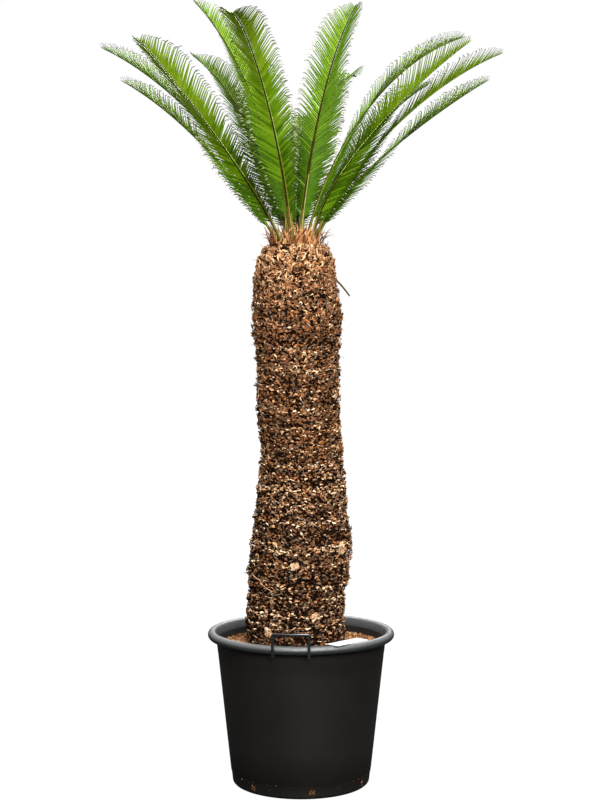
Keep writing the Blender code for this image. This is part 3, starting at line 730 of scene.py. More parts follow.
def handle_line():
    """Points of the bar's middle line, with rounded corners at the top."""
    half = HANDLE_WIDTH / 2 - HANDLE_BAR / 2
    top = HANDLE_TOP - HANDLE_BAR / 2
    bend = HANDLE_BEND
    foot = [(half, top - bend - 0.002), (half, HANDLE_FOOT + 0.02), (half, HANDLE_FOOT)]
    sag = [math.sin(math.pi * step / 12) * 0.0006 for step in range(13)]
    return [
        *((-x, height) for x, height in foot[::-1]),
        *arc(bend - half, top - bend, bend, 180, 90, 7),
        *((-half + 2 * half * step / 12, top - sag[step]) for step in range(2, 11)),
        *arc(half - bend, top - bend, bend, 90, 0, 7),
        *foot,
    ]


def make_handle(node, heading, looks):
    """A flat bar with rounded edges that stands on the rim's outer side."""
    line = np.array(handle_line())
    beyond = np.pad(line, ((1, 1), (0, 0)), mode="edge")
    along = unit(beyond[2:] - beyond[:-2])
    corner = round_angles(12)
    section = np.stack([np.cos(corner), np.sin(corner)])
    flat, deep = np.copysign(np.abs(section) ** 0.45, section) / 2
    x = line[:, :1] - along[:, 1:] * flat * HANDLE_BAR
    height = line[:, 1:] + along[:, :1] * flat * HANDLE_BAR
    radius = HANDLE_RADIUS + HANDLE_THICKNESS / 2 + deep * HANDLE_THICKNESS
    rings = spots(radius, math.radians(heading) + x / HANDLE_RADIUS, height)
    settle(skin(node + "_bar", rings, looks, 50), node, node)


def make_tag(looks):
    """A thin white strip, very slightly arched, that lies over the rim."""
    length, width, thick = TAG_SIZE
    columns, rows = np.arange(TAG_COLUMNS + 1) / TAG_COLUMNS, np.arange(TAG_ROWS + 1) / TAG_ROWS
    x, y = np.meshgrid(columns - 0.5, rows - 0.5)
    inside = np.maximum(abs(x), abs(y)) < 0.5
    lift = np.where(inside, TAG_LIFT * np.sin(np.pi * (x + 0.5)), 0.0)
    turn = math.radians(TAG_TURN)
    x, y = swung(x * length, -y * width, turn)
    points = []
    for rise in (thick * 0.7 + lift * 0.5, np.zeros_like(lift)):
        height = POT_HEIGHT + GAP + rise
        points.append(np.stack([x + TAG_CENTRE[0], TAG_CENTRE[1] - y, height], axis=-1))
    number = np.arange(x.size).reshape(x.shape)
    near, far = number[:-1], number[1:]
    top = np.stack([near[:, :-1], near[:, 1:], far[:, 1:], far[:, :-1]], axis=-1).reshape(-1, 4)
    edge = np.concatenate([number[0, :-1], near[:, -1], number[-1, :0:-1], number[:0:-1, 0]])
    after = np.roll(edge, -1)
    sides = np.stack([after, edge, x.size + edge, x.size + after], axis=1)
    faces = np.concatenate([top, x.size + top[:, ::-1], sides])
    piece = mesh_piece("tag_strip", points, [faces], looks, None, 40)
    settle(piece, "blank_tag", "blank_tag")


# ---- Trunk


def trunk_at(height):
    """Radius and sideways offset of the trunk's middle, eased between its stations."""
    height = np.asarray(height, float)
    stations = np.array(TRUNK_STATIONS)
    index = np.clip(np.searchsorted(stations[:, 0], height) - 1, 0, len(stations) - 2)
    low, high = stations[index], stations[index + 1]
    share = eased(np.clip((height - low[..., 0]) / (high[..., 0] - low[..., 0]), 0, 1))
    between = low + (high - low) * share[..., None]
    return between[..., 1], between[..., 2]


def bulge(angle, height):
    """Bosses in staggered rows, as in the part's source, and slow swellings of the old growth."""
    around = (angle - math.radians(BOSS_TURN)) * BOSSES_ROUND / FULL_TURN
    upwards = (height - TRUNK_BASE) / BOSS_PITCH + BOSS_SHIFT
    away = np.abs(around - np.round(around)) + np.abs(upwards - np.round(upwards))
    lift = np.abs(1 - 2 * away) ** BOSS_BLUNTNESS
    to_cut = np.minimum(height - TRUNK_BASE, TRUNK_TOP - height)
    boss = BOSS_HEIGHT * (lift - 0.5) * np.clip(to_cut / BOSS_EASE, 0, 1)
    swell = 0.0012 * np.sin(3 * angle + 9 * height)
    return boss + swell + 0.0010 * np.sin(5 * angle - 23 * height + 1.0)


def bark_spot(angle, height, depth):
    """Point on the bark, and its outward, sideways and upward directions."""
    radius, offset = trunk_at(height)
    slope = (trunk_at(height + 0.004)[0] - trunk_at(height - 0.004)[0]) / 0.008
    point = spots(radius + bulge(angle, height) - depth, angle, height, offset)
    level, side = outwards(angle)
    out = unit(level - np.clip(slope, -1.5, 1.5)[..., None] * UP)
    return point, out, side, np.cross(out, side)


def patchy(points, scale, seed):
    """A slow drift from about -1 to 1 over the trunk, one value for each point."""
    drift = [noise.noise((x * scale + seed, y * scale, z * scale)) for x, y, z in points.tolist()]
    return np.array(drift) * 1.6


def make_core(looks):
    """The inside of the bark, seen only between the leaf bases, in the near-black bark look:
    painted shade for the gaps.
    """
    height = np.linspace(TRUNK_BASE, TRUNK_TOP + 0.002, CORE_RINGS)
    angles, heights = np.meshgrid(round_angles(CORE_SIDES), height)
    points = bark_spot(angles, heights, BARK_DEPTH)[0].reshape(-1, 3)
    radial = unit(points * (1, 1, 0) - (CORE_AXIS_X, 0, 0))
    points = points + radial * (patchy(points, 140.0, 0.0) * CORE_ROUGHNESS)[:, None]
    rings = points.reshape(CORE_RINGS, CORE_SIDES, 3)
    ends = [(TRUNK_STATIONS[0][2], 0, TRUNK_BASE), (CROWN_X, 0, TRUNK_TOP + 0.004)]
    settle(skin("trunk_core", rings, looks[:1], 80, ends), "trunk", "trunk")


def stub_form():
    """A leaf base: a six-sided stub with a blunt, rounded end."""
    angle = FULL_TURN * (np.arange(6) + 0.5) / 6
    points = [*spots(0.55, angle, -0.35), *spots(0.55 * 0.86, angle, 0.72), (0.0, 0.12, 1.0)]
    side = np.arange(6)
    caps = np.stack([6 + side, 6 + (side + 1) % 6, np.full(6, 12)], axis=1)
    return np.array(points), [ring_quads(2, 6)[0], caps]


def picked(chance, odds):
    """One kind for each row of odds."""
    odds = np.clip(np.stack(np.broadcast_arrays(*odds), axis=1), 0.004, None)
    steps = np.cumsum(odds, axis=1) / odds.sum(axis=1, keepdims=True)
    return (steps < chance.random(len(odds))[:, None]).sum(axis=1)


def row_wave(angle):
    """How far the rows rise and sink round the trunk."""
    return 0.004 * np.sin(2 * angle + 1.0) + 0.002 * np.sin(5 * angle)


def row_light(point):
    """From -1 between the lighter rows to 1 on the plainest of them."""
    height = point[:, 2] - row_wave(np.arctan2(point[:, 1], point[:, 0]))
    row, plain = np.array(LIGHT_ROWS).T
    away = np.abs(height[:, None] - row)
    return 2 * (np.exp(-((away / LIGHT_ROW_HALF) ** 2)) * plain**0.5).max(axis=1) - 1


def bark_kinds(chance, point, tone, lighter=0.0):
    """Colours by height, row and patch: dark, brown, rust, grey, tan and pale."""
    up = np.clip((point[:, 2] - TRUNK_BASE) / (TRUNK_TOP - TRUNK_BASE), 0, 1)
    warm = tone + patchy(point, 16.0, 3.0) - 0.9 * np.clip(1 - up * 2, 0, 1)
    low = np.clip(1 - up * 2.2, 0, 1)
    bright = (1 - 0.3 * low) * patchy(point, 24.0, 40.0) + 0.9 * row_light(point) - 0.6 * low
    odds = (
        0.32 - 0.14 * up - (0.28 - 0.12 * up) * bright,
        0.30 + 0.10 * up,
        (0.15 + 0.15 * up) * (1 + 0.7 * warm),
        (0.20 - 0.04 * up) * (1 - 0.8 * warm),
        0.18 - 0.03 * up + 0.13 * bright + lighter,
        0.065 - 0.035 * up + 0.05 * bright + lighter * 0.6,
    )
    return picked(chance, odds)


def bark_rows(chance):
    """Rows of leaf bases in the yearly bands, each band starting over a dark groove."""
    low = TRUNK_BASE + 0.002
    while low < ROWS_TOP:
        pitch = chance.uniform(0.030, 0.056)
        tone = chance.uniform(-0.9, 0.9)
        phase = chance.uniform(0, FULL_TURN)
        height = low
        while height < low + pitch:
            step = chance.uniform(0.0056, 0.0078)
            yield height + step / 2, step, (height - low) / pitch, tone, phase
            height += step
        low = height


def make_bark(looks, chance):
    """Every leaf base of the trunk: sides mostly in the near-black look, painted shade between the
    bases, and a worn end of its own colour.
    """
    gathered = {"low": [], "high": []}
    for height, step, share, tone, phase in bark_rows(chance):
        radius, _ = trunk_at(height)
        width = step * chance.uniform(1.25, 1.85)
        count = int(round(FULL_TURN * float(radius) / width))
        angle = (np.arange(count) + chance.random()) * FULL_TURN / count
        angle = angle + chance.normal(0, 0.30, count) * FULL_TURN / count
        heights = height + 0.0055 * np.sin(angle + phase) + 0.0025 * np.sin(3 * angle + 2 * phase)
        heights = heights + chance.normal(0, 0.0018, count)
        heights = np.clip(heights, TRUNK_BASE + 0.004, BASES_TOP)
        point, out, side, up = bark_spot(angle, heights, BARK_DEPTH)
        groove = share > 0.80
        kept = chance.random(count) > (0.30 if groove else 0.10)
        axis, _ = swung(out, up, np.radians(chance.normal(30, 20, count))[:, None])
        axis = unit(axis + side * chance.normal(0, 0.30, (count, 1)))
        across = unit(side - axis * np.einsum("ij,ij->i", side, axis)[:, None])
        across, rise = swung(across, np.cross(axis, across), chance.normal(0, 0.38, (count, 1)))
        size = chance.uniform(0.62, 1.18, (count, 1))
        deep = chance.uniform(0.0060, 0.0135, (count, 1)) * (0.72 if groove else 1.0)
        tall = step * size * chance.uniform(0.7, 1.1, (count, 1))
        axes = np.stack([across * width * size, rise * tall, axis * deep], axis=1)
        # Painted shade: in the groove at the top of each band, fewer tan and pale ends are dealt.
        lighter = 0.10 if share < 0.22 else (-0.12 if groove else 0.0)
        kinds = bark_kinds(chance, point, tone, lighter)
        part = "low" if height < BASES_SPLIT else "high"
        gathered[part].append((point[kept], axes[kept], kinds[kept]))
    for part, rows in gathered.items():
        centres, axes, kinds = (np.concatenate(column) for column in zip(*rows))
        count = len(centres)
        shake = chance.normal(0, 0.13, (count, 13, 3))
        points, faces = copies(stub_form(), shake, centres, axes)
        # Painted shade: most side faces take the near-black look, more of them low on the trunk.
        darker = 0.85 if part == "low" else 0.55
        sides_with_painted_shade = np.where(chance.random((count, 6)) < darker, DARK, BROWN)
        cap = np.where(chance.random((count, 6)) < 0.80, kinds[:, None], BROWN)
        dealt = np.concatenate([sides_with_painted_shade.ravel(), cap.ravel()])
        settle(mesh_piece(f"trunk_bases_{part}", points, faces, looks, dealt), "trunk")


def strewn(chance, count, low, high, shallow, deep):
    """Random places on the bark between two heights, with their directions."""
    height = chance.uniform(low, high, count)
    angle = chance.uniform(0, FULL_TURN, count)
    return bark_spot(angle, height, chance.uniform(shallow, deep, count))


def make_bark_curls(looks, chance):
    """Worn lips and twisted shreds of the leaf bases, mostly arched over and lying level."""
    for part, low, high, count in CURLS:
        point, out, side, rise = strewn(chance, count, low, high, -0.0005, 0.0040)
        out = unit(out + rise * chance.normal(0.15, 0.3, (count, 1)))
        length = chance.uniform(0.0055, 0.0130, count)
        thick = chance.uniform(0.0018, 0.0034, count)
        arch = chance.normal(0.26, 0.20, count)
        roll = chance.normal(0, 0.50, count)
        roll = roll + (chance.random(count) < 0.15) * chance.uniform(-1.5, 1.5, count)
        lines = curls(point, out, side, rise, length, thick, arch, roll)
        kinds = bark_kinds(chance, point, 0.15, 0.06)
        settle(strip_piece(f"trunk_curls_{part}", lines, looks, kinds, 0.10, 60), "trunk")


def make_bark_lumps(looks, chance):
    """Rounded worn ends of the bases along the lighter rows, painted pale above as light and dark
    below as shade.
    """
    gathered = []
    for row, plain in LIGHT_ROWS:
        count = int(LUMPS_IN_A_ROW * (0.45 + 0.55 * plain))
        angle = (np.arange(count) + chance.normal(0, 0.28, count)) * FULL_TURN / count
        height = row + row_wave(angle) + chance.normal(0, 0.0026, count)
        size = chance.uniform(0.60, 1.15, count) * (0.60 + 0.40 * plain)
        gathered.append((angle, height, size))
    limits = ((0, FULL_TURN), (TRUNK_BASE + 0.01, 0.90), (0.40, 0.80))
    gathered.append([chance.uniform(*pair, LOOSE_LUMPS) for pair in limits])
    angle, height, size = (np.concatenate(column) for column in zip(*gathered))
    size = size * (1.06 - 0.25 * np.clip((height - 0.8) / 0.4, 0, 1))
    count = len(angle)
    point, out, side, rise = bark_spot(angle, height, chance.uniform(0.003, 0.006, count))
    axis, above = swung(out, rise, np.radians(chance.normal(18, 14, count))[:, None])
    across, above = swung(side, above, chance.normal(0, 0.30, (count, 1)))
    widths = (size * chance.uniform(0.0085, 0.0125, count))[:, None]
    tall = (size * chance.uniform(0.0055, 0.0080, count))[:, None]
    deep = (0.0035 + size * 0.0040)[:, None]
    axes = np.stack([across * widths, above * tall, axis * deep], axis=1)
    points, faces = copies(stub_form(), chance.normal(0, 0.07, (count, 13, 3)), point, axes)
    # Painted light and shade: the upper faces take each lump's light colour, the lower faces
    # near-black or brown.
    pale = chance.choice((TAN, PALE, BROWN, RUST), count, p=(0.42, 0.42, 0.10, 0.06))[:, None]
    sides_with_painted_shade = np.where(np.array([1, 1, 0, 0, 0, 0], bool), pale, DARK)
    cap = np.where(np.array([1, 1, 1, 0, 0, 1], bool), pale, BROWN)
    dealt = np.concatenate([sides_with_painted_shade.ravel(), cap.ravel()])
    settle(mesh_piece("trunk_lumps", points, faces, looks, dealt, 75), "trunk")


def make_bark_chips(looks, chance):
    """Torn chips between the bases, each curling outwards, some to a lighter point."""
    count = CHIP_COUNT
    point, out, side, rise = strewn(chance, count, TRUNK_BASE + 0.004, ROWS_TOP, 0.001, 0.006)
    heading = rise * chance.normal(0.75, 0.35, (count, 1))
    heading = heading + out * chance.uniform(0.0, 0.45, (count, 1))
    heading = unit(heading + side * chance.normal(0, 0.75, (count, 1)))
    length = chance.uniform(0.0065, 0.0145, count)
    width = chance.uniform(0.0032, 0.0078, count)
    bend = chance.normal(0.5, 0.6, count)
    lines = curved_strips(chance, point, heading, out, length, width, bend, 4, 0.0010, 0.3)
    kinds = bark_kinds(chance, point, 0.1)
    tips = np.where(chance.random(count) < 0.35, TAN, kinds)
    tips = np.where(kinds == DARK, BROWN, tips)
    settle(strip_piece("trunk_chips", lines, looks, kinds, 0.15, 40, tips, 1), "trunk")


def make_pale_patches(looks, chance):
    """Tufts of pale chips where old bases have worn to the fibre."""
    places = []
    for heading, height, size in PALE_PATCHES:
        for _ in range(int(7 + 3000 * size)):
            turn = chance.uniform(0, FULL_TURN)
            reach = size * math.sqrt(chance.random())
            angle = math.radians(heading) + reach * math.cos(turn) / 0.13
            places.append((angle, height + reach * math.sin(turn)))
    angle, height = np.array(places).T
    count = len(angle)
    point, out, side, rise = bark_spot(angle, height, chance.uniform(-0.001, 0.002, count))
    heading = unit(rise * 0.8 + out * 0.35 + side * chance.normal(0, 0.8, (count, 1)))
    length = chance.uniform(0.006, 0.011, count)
    width = chance.uniform(0.004, 0.008, count)
    bend = chance.normal(0.4, 0.5, count)
    lines = curved_strips(chance, point, heading, out, length, width, bend, 4, 0.0012, 0.3)
    kinds = chance.choice((TAN, PALE), count, p=(0.4, 0.6))
    settle(strip_piece("trunk_pale_patches", lines, looks, kinds, 0.15, 40), "trunk")


def make_bark_fibres(looks, chance):
    """Thin dry fibres that lie over the bark, mostly in its upper half, and a few dark spikes."""
    count, spikes = FIBRE_COUNT, SPIKE_COUNT
    low = TRUNK_BASE + 0.03
    height = low + chance.beta(2.0, 1.0, count) * (ROWS_TOP - low)
    height[:spikes] = chance.uniform(1.12, 1.40, spikes)
    angle = chance.uniform(0, FULL_TURN, count)
    point, out, side, rise = bark_spot(angle, height, chance.uniform(0.000, 0.004, count))
    turn = chance.uniform(-math.pi, math.pi, count)[:, None]
    heading = side * np.cos(turn) + rise * np.sin(turn) * 0.8
    heading = unit(heading + out * chance.uniform(-0.25, 0.04, (count, 1)))
    spiky = out + rise * chance.normal(0.3, 0.5, (count, 1))
    spiky = unit(spiky + side * chance.normal(0, 0.4, (count, 1)))
    heading[:spikes] = spiky[:spikes]
    length = chance.uniform(0.006, 0.018, count)
    length[:spikes] += 0.004
    width = chance.uniform(0.0006, 0.0013, count)
    width[:spikes] *= 1.7
    bend = chance.normal(-0.5, 0.7, count)
    lines = curved_strips(chance, point, heading, rise, length, width, bend, 4, 0.0005)
    kinds = chance.choice(BARK_TONES, count, p=(0.10, 0.18, 0.20, 0.10, 0.28, 0.14))
    kinds[:spikes] = DARK
    settle(strip_piece("trunk_fibres", lines, looks, kinds), "trunk")


def make_long_fibre(looks):
    """One long tan fibre that has come away from the bark on the left of the front."""
    share = np.arange(25) / 24
    depth = -0.002 - 0.004 * np.sin(np.pi * share)
    angle = np.radians(-151 + 30 * share)
    point, out, _, rise = bark_spot(angle, 0.570 - 0.040 * share**1.2, depth)
    size = 0.0010 * (1 - 0.5 * abs(2 * share - 1) ** 3)
    ring, _ = swung(out[:, None], rise[:, None], round_angles(6)[:, None])
    rings = point[:, None] + ring * size[:, None, None]
    settle(skin("trunk_long_fibre", rings, [looks[TAN]], 60), "trunk")


# ---- Crown


def make_shoulder(looks, chance):
    """Curled, woolly stumps of the youngest leaf bases, round the trunk's shoulder."""
    count = WOOL_COUNT
    height = TRUNK_TOP - 0.002 - 0.165 * chance.beta(1.0, 1.75, count)
    angle = chance.uniform(0, FULL_TURN, count)
    point, out, side, up = bark_spot(angle, height, chance.uniform(-0.0010, 0.0050, count))
    top = (chance.random(count) < 0.20)[:, None]
    flat = spots(chance.uniform(0.056, 0.088, count), angle, TRUNK_TOP - 0.002, CROWN_X)
    point = np.where(top, flat, point)
    out = np.where(top, unit(out * 0.5 + UP), out)
    up = np.where(top, np.cross(out, side), up)
    out = out + up * chance.normal(0.25, 0.35, (count, 1))
    out = unit(out + side * chance.normal(0, 0.25, (count, 1)))
    larger = 0.72 + 0.28 * np.clip((point[:, 2] - 1.31) / 0.07, 0, 1)
    length = chance.uniform(0.008, 0.019, count) * larger
    thick = chance.uniform(0.0023, 0.0045, count) * larger
    arch = chance.normal(0.30, 0.34, count)
    roll = chance.normal(0, 1.0, count)
    bright = patchy(point, 70.0, 9.0)
    # Curls dealt the wool_shadow look are painted shade: the dark holes among the others.
    odds = (0.30 - 0.28 * bright, 0.20, 0.32 + 0.1 * bright, 0.18 + 0.10 * bright)
    kinds = picked(chance, odds)
    lines = curls(point, out, side, up, length, thick, arch, roll, 5)
    settle(strip_piece("crown_wool", lines, looks, kinds, 0.10, 50), "trunk")


def make_husks(looks, chance):
    """Papery pointed strips that stand close together round the feet of the fronds."""
    count = HUSK_COUNT
    angle = np.arange(count) % HUSK_CLUMPS + chance.normal(0, 0.24, count)
    angle = angle * FULL_TURN / HUSK_CLUMPS
    start = spots(chance.uniform(0.048, 0.074, count), angle, TRUNK_TOP - 0.004, CROWN_X)
    out, side = outwards(angle)
    heading, _ = swung(UP, out, np.radians(chance.normal(2, 10, count))[:, None])
    heading = unit(heading + side * chance.normal(0.06, 0.34, (count, 1)))
    length = chance.uniform(0.032, 0.076, count)
    width = chance.uniform(0.0028, 0.0072, count)
    bend = np.radians(chance.normal(4, 30, count))
    arched = chance.random(count) < 0.12
    bend[arched] = np.radians(chance.uniform(60, 125, arched.sum()))
    lines = curved_strips(chance, start, heading, out, length, width, bend, 10, 0.0009, 0.75)
    # Husks dealt the husk_shadow look are painted shade among the lighter ones.
    kinds = chance.choice(3, count, p=(0.34, 0.30, 0.36))
    piece = strip_piece("crown_husks", lines, looks, kinds, 0.22)
    settle(piece, "crown_scales", "crown_scales")


def make_crown_fibres(looks, chance):
    """Thin dark curly threads that stray from the edge of the crown's foot."""
    count = CROWN_FIBRE_COUNT
    angle = chance.uniform(0, FULL_TURN, count)
    start = spots(chance.uniform(0.064, 0.082, count), angle, TRUNK_TOP - 0.006, CROWN_X)
    out, side = outwards(angle)
    heading = out * 0.8 + UP * chance.uniform(0.2, 1.6, (count, 1))
    heading = unit(heading + side * chance.normal(0, 0.4, (count, 1)))
    length = chance.uniform(0.022, 0.044, count)
    width = chance.uniform(0.0016, 0.0027, count)
    bend = chance.normal(0, 1.4, count)
    above = np.broadcast_to(UP, (count, 3))
    lines = curved_strips(chance, start, heading, above, length, width, bend, 14, 0.0008, 1.1)
    kinds = chance.choice((DARK, BROWN), count, p=(0.8, 0.2))
    settle(strip_piece("crown_fibres", lines, looks, kinds), "trunk")


def make_stalk(looks):
    """A dry leaf stalk that hangs from the right of the shoulder."""
    heading = np.radians([STALK_HEADING])
    root = bark_spot(heading, np.array([STALK_HEIGHT]), 0.003)[0][0]
    hang = unit(outwards(heading)[0][0] * 0.66 - UP * 0.75)
    first = np.array(Vector(hang).orthogonal().normalized())
    step = np.arange(STALK_RINGS)[:, None]
    share = step / (STALK_RINGS - 1)
    angle = round_angles(9)
    size = STALK_RADIUS * (1.0 - 0.28 * share) * (1 + 0.06 * np.sin(step * 2.3))
    reach = size * (1 + 0.08 * np.sin(3 * angle + share * 5))
    middle = root + hang * (STALK_LENGTH + 0.004) * share + UP * 0.002 * np.sin(np.pi * share)
    ring, _ = swung(first, np.cross(hang, first), angle[:, None])
    rings = middle[:, None] + ring * reach[..., None]
    settle(skin("dead_stalk_stick", rings, looks, 60), "dead_stalk", "dead_stalk")


# ---- Fronds


def spread_feet():
    """Low fronds stand on the outside of the crown and steep ones inside, none too close."""
    feet = []
    for _, heading, rise, *_ in FRONDS:
        share = min(max((rise - LOW_RISE) / (STEEP_RISE - LOW_RISE), 0), 1)
        radius = FOOT_OUTER + (FOOT_INNER - FOOT_OUTER) * share
        angle = math.radians(heading)
        feet.append(Vector((radius * math.cos(angle), radius * math.sin(angle))))
    for _ in range(FOOT_PUSHES):
        for first in range(len(feet)):
            for second in range(first):
                apart = feet[first] - feet[second]
                if apart.length < FOOT_SPACING:
                    push = apart.normalized() * (FOOT_SPACING - apart.length) / 2
                    feet[first] += push
                    feet[second] -= push
            if feet[first].length > FOOT_OUTER:
                feet[first] *= FOOT_OUTER / feet[first].length
    return feet


class Rib:
    """The curved middle line of one frond, with its direction at each place."""

    def __init__(self, spec, foot):
        _, heading, rise, bend, sway, steeper, self.length, self.fullness = spec
        share = (np.arange(PATH_STEPS) + 0.5) / PATH_STEPS
        self.lift = np.radians(rise - bend * share**2 + steeper * (1 - share) ** 5)
        self.turn = np.radians(heading + sway * share)
        way = self.direction(self.lift, self.turn)
        start = np.array([[CROWN_X + foot.x, foot.y, TRUNK_TOP + GAP]])
        steps = np.cumsum(way * self.length / PATH_STEPS, axis=0)
        self.points = np.concatenate([start, start + steps])

    @staticmethod
    def direction(lift, turn):
        return spots(np.cos(lift), turn, np.sin(lift))

    def frame(self, share):
        """Point, direction, side and upper face of the rib at these shares of its length."""
        place = np.clip(share, 0, 1) * PATH_STEPS
        index = np.minimum(place.astype(int), PATH_STEPS - 1)
        part = (place - index)[:, None]
        point = self.points[index] * (1 - part) + self.points[index + 1] * part
        middles = np.arange(PATH_STEPS) + 0.5
        turn = np.interp(place, middles, self.turn)
        way = self.direction(np.interp(place, middles, self.lift), turn)
        side = -outwards(turn)[1]
        return point, way, side, np.cross(side, way)


def rib_width(share):
    return RIB_TIP_WIDTH + (RIB_FOOT_WIDTH - RIB_TIP_WIDTH) * (1 - share) ** 1.6


def leaflet_size(place):
    """Length, angle from the rib, fold and curl of a leaflet, from foot (0) to tip (1)."""
    grown = np.minimum(place / LEAFLET_GROWN_AT, 1.0)
    tapered = np.maximum((place - LEAFLET_TAPERS_FROM) / (1 - LEAFLET_TAPERS_FROM), 0.0)
    length = LEAFLET_LONGEST * (0.38 + 0.62 * grown * (2 - grown)) * (1 - 0.80 * tapered**1.8)
    sweep = SWEEP_AT_TIP + (SWEEP_AT_FOOT - SWEEP_AT_TIP) * (1 - place) ** 2.4
    closing = eased(np.minimum(place / FOLD_CLOSED_AT, 1.0))
    fold = FOLD_AT_FOOT + (FOLD_AT_TIP - FOLD_AT_FOOT) * closing
    curl = CURL_AT_FOOT + (CURL_AT_TIP - CURL_AT_FOOT) * place
    return length, np.radians(sweep), np.radians(fold), np.radians(curl)


def make_rib(frond, rib, looks):
    """The stalk and midrib: rounded below, with a ridge between two grooves above."""
    share = np.linspace(0, 1, RIB_STEPS + 1)
    point, _, side, up = rib.frame(share)
    width = rib_width(share)
    width[-1] *= 0.35
    across, rise = np.array(RIB_SECTION).T * np.array([[1.0], [0.8]])
    rings = point[:, None] + side[:, None] * (width[:, None] * across)[..., None]
    rings = rings + up[:, None] * (width[:, None] * rise)[..., None]
    corner = np.arange(len(RIB_SECTION))
    quads = ring_quads(RIB_STEPS + 1, len(corner)).reshape(-1, 4)
    share = share[:-1, None]
    stem = np.where(share < 0.30, RIB_OLIVE, RIB_GREEN)
    groove = np.isin(corner, RIB_GROOVE_FACES) & (share > 0.25)
    line = np.where(share < 0.12, RIB_FOOT_LINE, RIB_LINE)
    dealt = np.where(groove, RIB_LINE, stem)
    dealt = np.where(np.isin(corner, RIB_LINE_FACES), line, dealt)
    ends = [corner[::-1], RIB_STEPS * len(corner) + corner]
    dealt = [*dealt.ravel(), RIB_OLIVE, RIB_GREEN]
    settle(mesh_piece(frond + "_rib", rings, [quads, ends], looks, dealt, 50), frond, frond)


def leaflet_lines(rib, sign, count, chance):
    """Middle lines and directions of one row of leaflets, each folded, twisted and hooked."""
    place = (np.arange(count) + 0.5 + chance.normal(0, 0.05, count)) / count
    place = np.clip(place, 0.002, 0.998)
    share = BLADE_START + (BLADE_END - BLADE_START) * place
    length, sweep, fold, curl = leaflet_size(place)
    length = length * rib.fullness * chance.normal(1.0, 0.03, count)
    sweep = sweep + np.radians(chance.normal(0, 1.1, count))
    fold = fold + np.radians(chance.normal(0, 0.9, count))
    point, way, side, up = rib.frame(share)
    out, _ = swung(side * sign, up, fold[:, None])
    width = rib_width(share)[:, None]
    root = point + side * sign * width * 0.47 - up * width * 0.08
    along = np.array(LEAFLET_PLACES)
    hooked = np.clip((along - 0.80) / 0.20, 0, 1)
    hook = np.radians(chance.normal(LEAFLET_HOOK, 30, count))
    curl = curl + np.radians(chance.normal(0, 3.0, count))
    angle = sweep[:, None] + curl[:, None] * eased(along) + hook[:, None] * hooked
    heading, across = swung(way[:, None], out[:, None], angle[..., None])
    above = np.cross(-across, heading)
    above = above * np.sign(np.einsum("nmi,ni->nm", above, up))[..., None]
    sag = (chance.normal(0.35, 0.22, count)[:, None] * hooked)[..., None]
    heading = unit(heading - above * sag)
    above = unit(above + heading * sag)
    twist = np.radians(LEAFLET_TWIST + chance.normal(0, 4, count))[:, None] * (0.25 + 0.75 * along)
    across, above = swung(-across, above, twist[..., None])
    path = walked(root, heading[:, :-1] * (length[:, None] * np.diff(along))[..., None])
    size = (1.08 - 0.20 * place) * (0.72 + 0.28 * np.minimum(1, length / 0.085))
    width = LEAFLET_WIDTH * np.array(LEAFLET_TAPER) * size[:, None]
    return path, across, above, width, width * 0.10, place


def make_blades(frond, rib, looks, chance):
    """Two rows of narrow, glossy leaflets, their hooked points dark or pale."""
    count = int(round((BLADE_END - BLADE_START) * rib.length / LEAFLET_PITCH))
    rows = [leaflet_lines(rib, sign, count, chance) for sign in (-1, 1)]
    *lines, place = (np.concatenate(column) for column in zip(*rows))
    drift = patchy(lines[0][:, 0], 11.0, 5.0) * 0.25 + chance.normal(0, 0.48, len(place))
    # Painted shade: leaflets nearer the frond's foot, deep in the crown, are dealt darker greens.
    level = LEAF_DARK + 0.3 - (LEAF_DARK - 0.1) * np.minimum(place * 1.35, 1) ** 0.9 + drift
    level = level + FROND_SHADE.get(frond, 0.0)
    kinds = np.clip(np.round(level), LEAF_BRIGHT, LEAF_DARK).astype(int)
    # A few leaflets take the glossy look, whose paler colour is a painted sheen.
    kinds = np.where(chance.random(len(place)) < 0.02, LEAF_GLOSS_AND_SHEEN, kinds)
    dark_tips = (0.30 if "tall" in frond else 0.66) + 0.40 * np.clip(place - 0.3, 0, 1)
    tips = np.where(chance.random(len(place)) < dark_tips, LEAF_TIP, LEAF_TIP_PALE)
    name = frond + "_leaflets"
    # Each leaflet gets one darker upper face as painted shade.
    settle(strip_piece(name, lines, looks, kinds, 0.20, 25, tips, 2, LEAF_PAINTED_SHADE), frond, frond)


def make_fronds(rib_looks, leaf_looks, chance):
    for spec, foot in zip(FRONDS, spread_feet()):
        rib = Rib(spec, foot)
        make_rib(spec[0], rib, rib_looks)
        make_blades(spec[0], rib, leaf_looks, chance)


# ---- Stage


def make_stage():
    """A wide floor that the camera sees as white."""
    made = bpy.data.materials.new("floor_pale")
    made.use_nodes = True
    ray = new_node(made.node_tree, "LightPath", {})
    values = {
        "Base Color": (0.012, 0.012, 0.012, 1.0),
        "Roughness": 0.9,
        "Specular IOR Level": 0.1,
        "Emission Color": WHITE,
        "Emission Strength": ray.outputs["Is Camera Ray"],
    }
    feed(made.node_tree.nodes["Principled BSDF"], values)
    mesh = bpy.data.meshes.new("floor")
    points = spots(FLOOR_RADIUS, round_angles(FLOOR_SIDES), -0.0002)
    mesh.from_pydata(points.tolist(), [], [tuple(range(FLOOR_SIDES))])
    mesh.materials.append(made)
    floor = placed("floor", mesh)


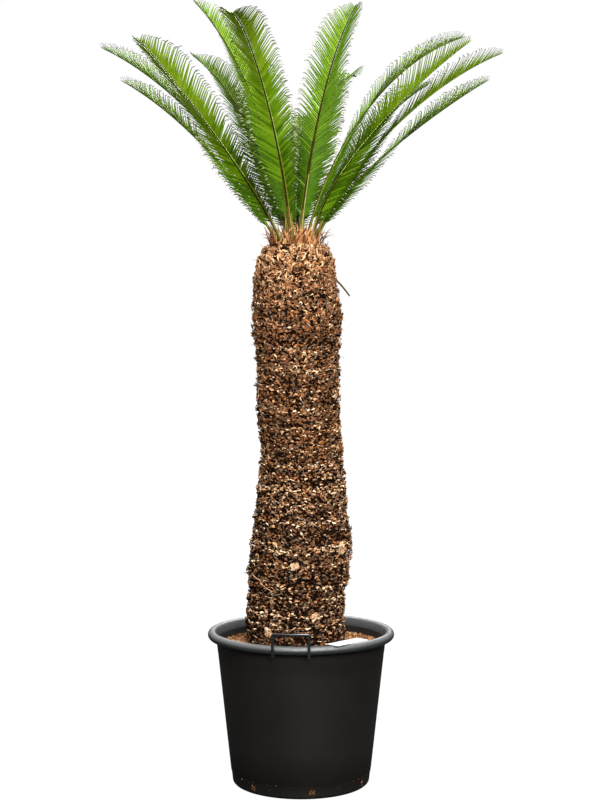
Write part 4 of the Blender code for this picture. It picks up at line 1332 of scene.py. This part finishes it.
def make_light():
    """A white backdrop, soft light that differs for matt and glossy surfaces, and the lamps."""
    world = bpy.data.worlds.new("studio")
    bpy.context.scene.world = world
    world.use_nodes = True
    tree = world.node_tree
    tree.nodes.clear()
    place = new_node(tree, "TexCoord", {}).outputs["Generated"]
    parts = new_node(tree, "SeparateXYZ", {"Vector": place})
    soft = []
    for axis, start, end, first, last in (FILL, SHEEN):
        values = {"From Min": start, "From Max": end, "To Min": first, "To Max": last}
        brighter = new_node(tree, "MapRange", {"Value": parts.outputs[axis], **values})
        values = {"Color": WHITE, "Strength": brighter.outputs["Result"]}
        soft.append(new_node(tree, "Background", values).outputs["Background"])
    seen = new_node(tree, "Background", {"Color": WHITE, "Strength": 1.0}).outputs["Background"]
    ray = new_node(tree, "LightPath", {}).outputs
    glossy = new_node(tree, "MixShader", {"Fac": ray["Is Glossy Ray"], 1: soft[0], 2: soft[1]})
    values = {"Fac": ray["Is Camera Ray"], 1: glossy.outputs["Shader"], 2: seen}
    mix = new_node(tree, "MixShader", values)
    new_node(tree, "OutputWorld", {"Surface": mix.outputs["Shader"]})
    for name, place, aim, size, power in LAMPS:
        if name == "crown":
            data = bpy.data.lights.new(name, "SPOT")
            data.spot_size = math.radians(SPOT_ANGLE)
            data.spot_blend = SPOT_BLEND
            data.shadow_soft_size = size
        else:
            data = bpy.data.lights.new(name, "AREA")
            data.shape = "SQUARE"
            data.size = size
        data.energy = power
        lamp = placed(name, data)
        lamp.location = place
        lamp.rotation_mode = "QUATERNION"
        lamp.rotation_quaternion = (Vector(aim) - Vector(place)).to_track_quat("-Z", "Y")


def make_camera():
    data = bpy.data.cameras.new("camera")
    data.sensor_width = CAMERA_SENSOR
    data.lens = CAMERA_LENS
    data.clip_end = CAMERA_REACH
    camera = placed("camera", data)
    camera.location = CAMERA_PLACE
    camera.rotation_euler = (math.pi / 2 - CAMERA_TILT, 0.0, 0.0)
    bpy.context.scene.camera = camera
    bpy.context.scene.view_settings.view_transform = "Standard"


chance_of = np.random.default_rng
make_camera()
make_stage()
make_light()
looks = look_families()
make_pot(looks["pot"])
make_soil(looks["soil"])
make_crumbs(looks["soil"], chance_of(3))
make_drain_plugs(looks["soil"], chance_of(5))
make_handle("handle_front", HANDLE_HEADING, looks["handle"])
make_handle("handle_back", HANDLE_HEADING + 180, looks["handle"])
make_tag(looks["tag"])
make_core(looks["bark"])
make_bark(looks["bark"], chance_of(7))
make_bark_curls(looks["bark"], chance_of(8))
make_bark_lumps(looks["bark"], chance_of(12))
make_bark_chips(looks["bark"], chance_of(9))
make_pale_patches(looks["bark"], chance_of(10))
make_bark_fibres(looks["bark"], chance_of(11))
make_long_fibre(looks["bark"])
make_shoulder(looks["wool"], chance_of(13))
make_husks(looks["husk"], chance_of(17))
make_crown_fibres(looks["bark"], chance_of(18))
make_stalk(looks["stalk"])
make_fronds(looks["rib"], looks["leaf"], chance_of(23))
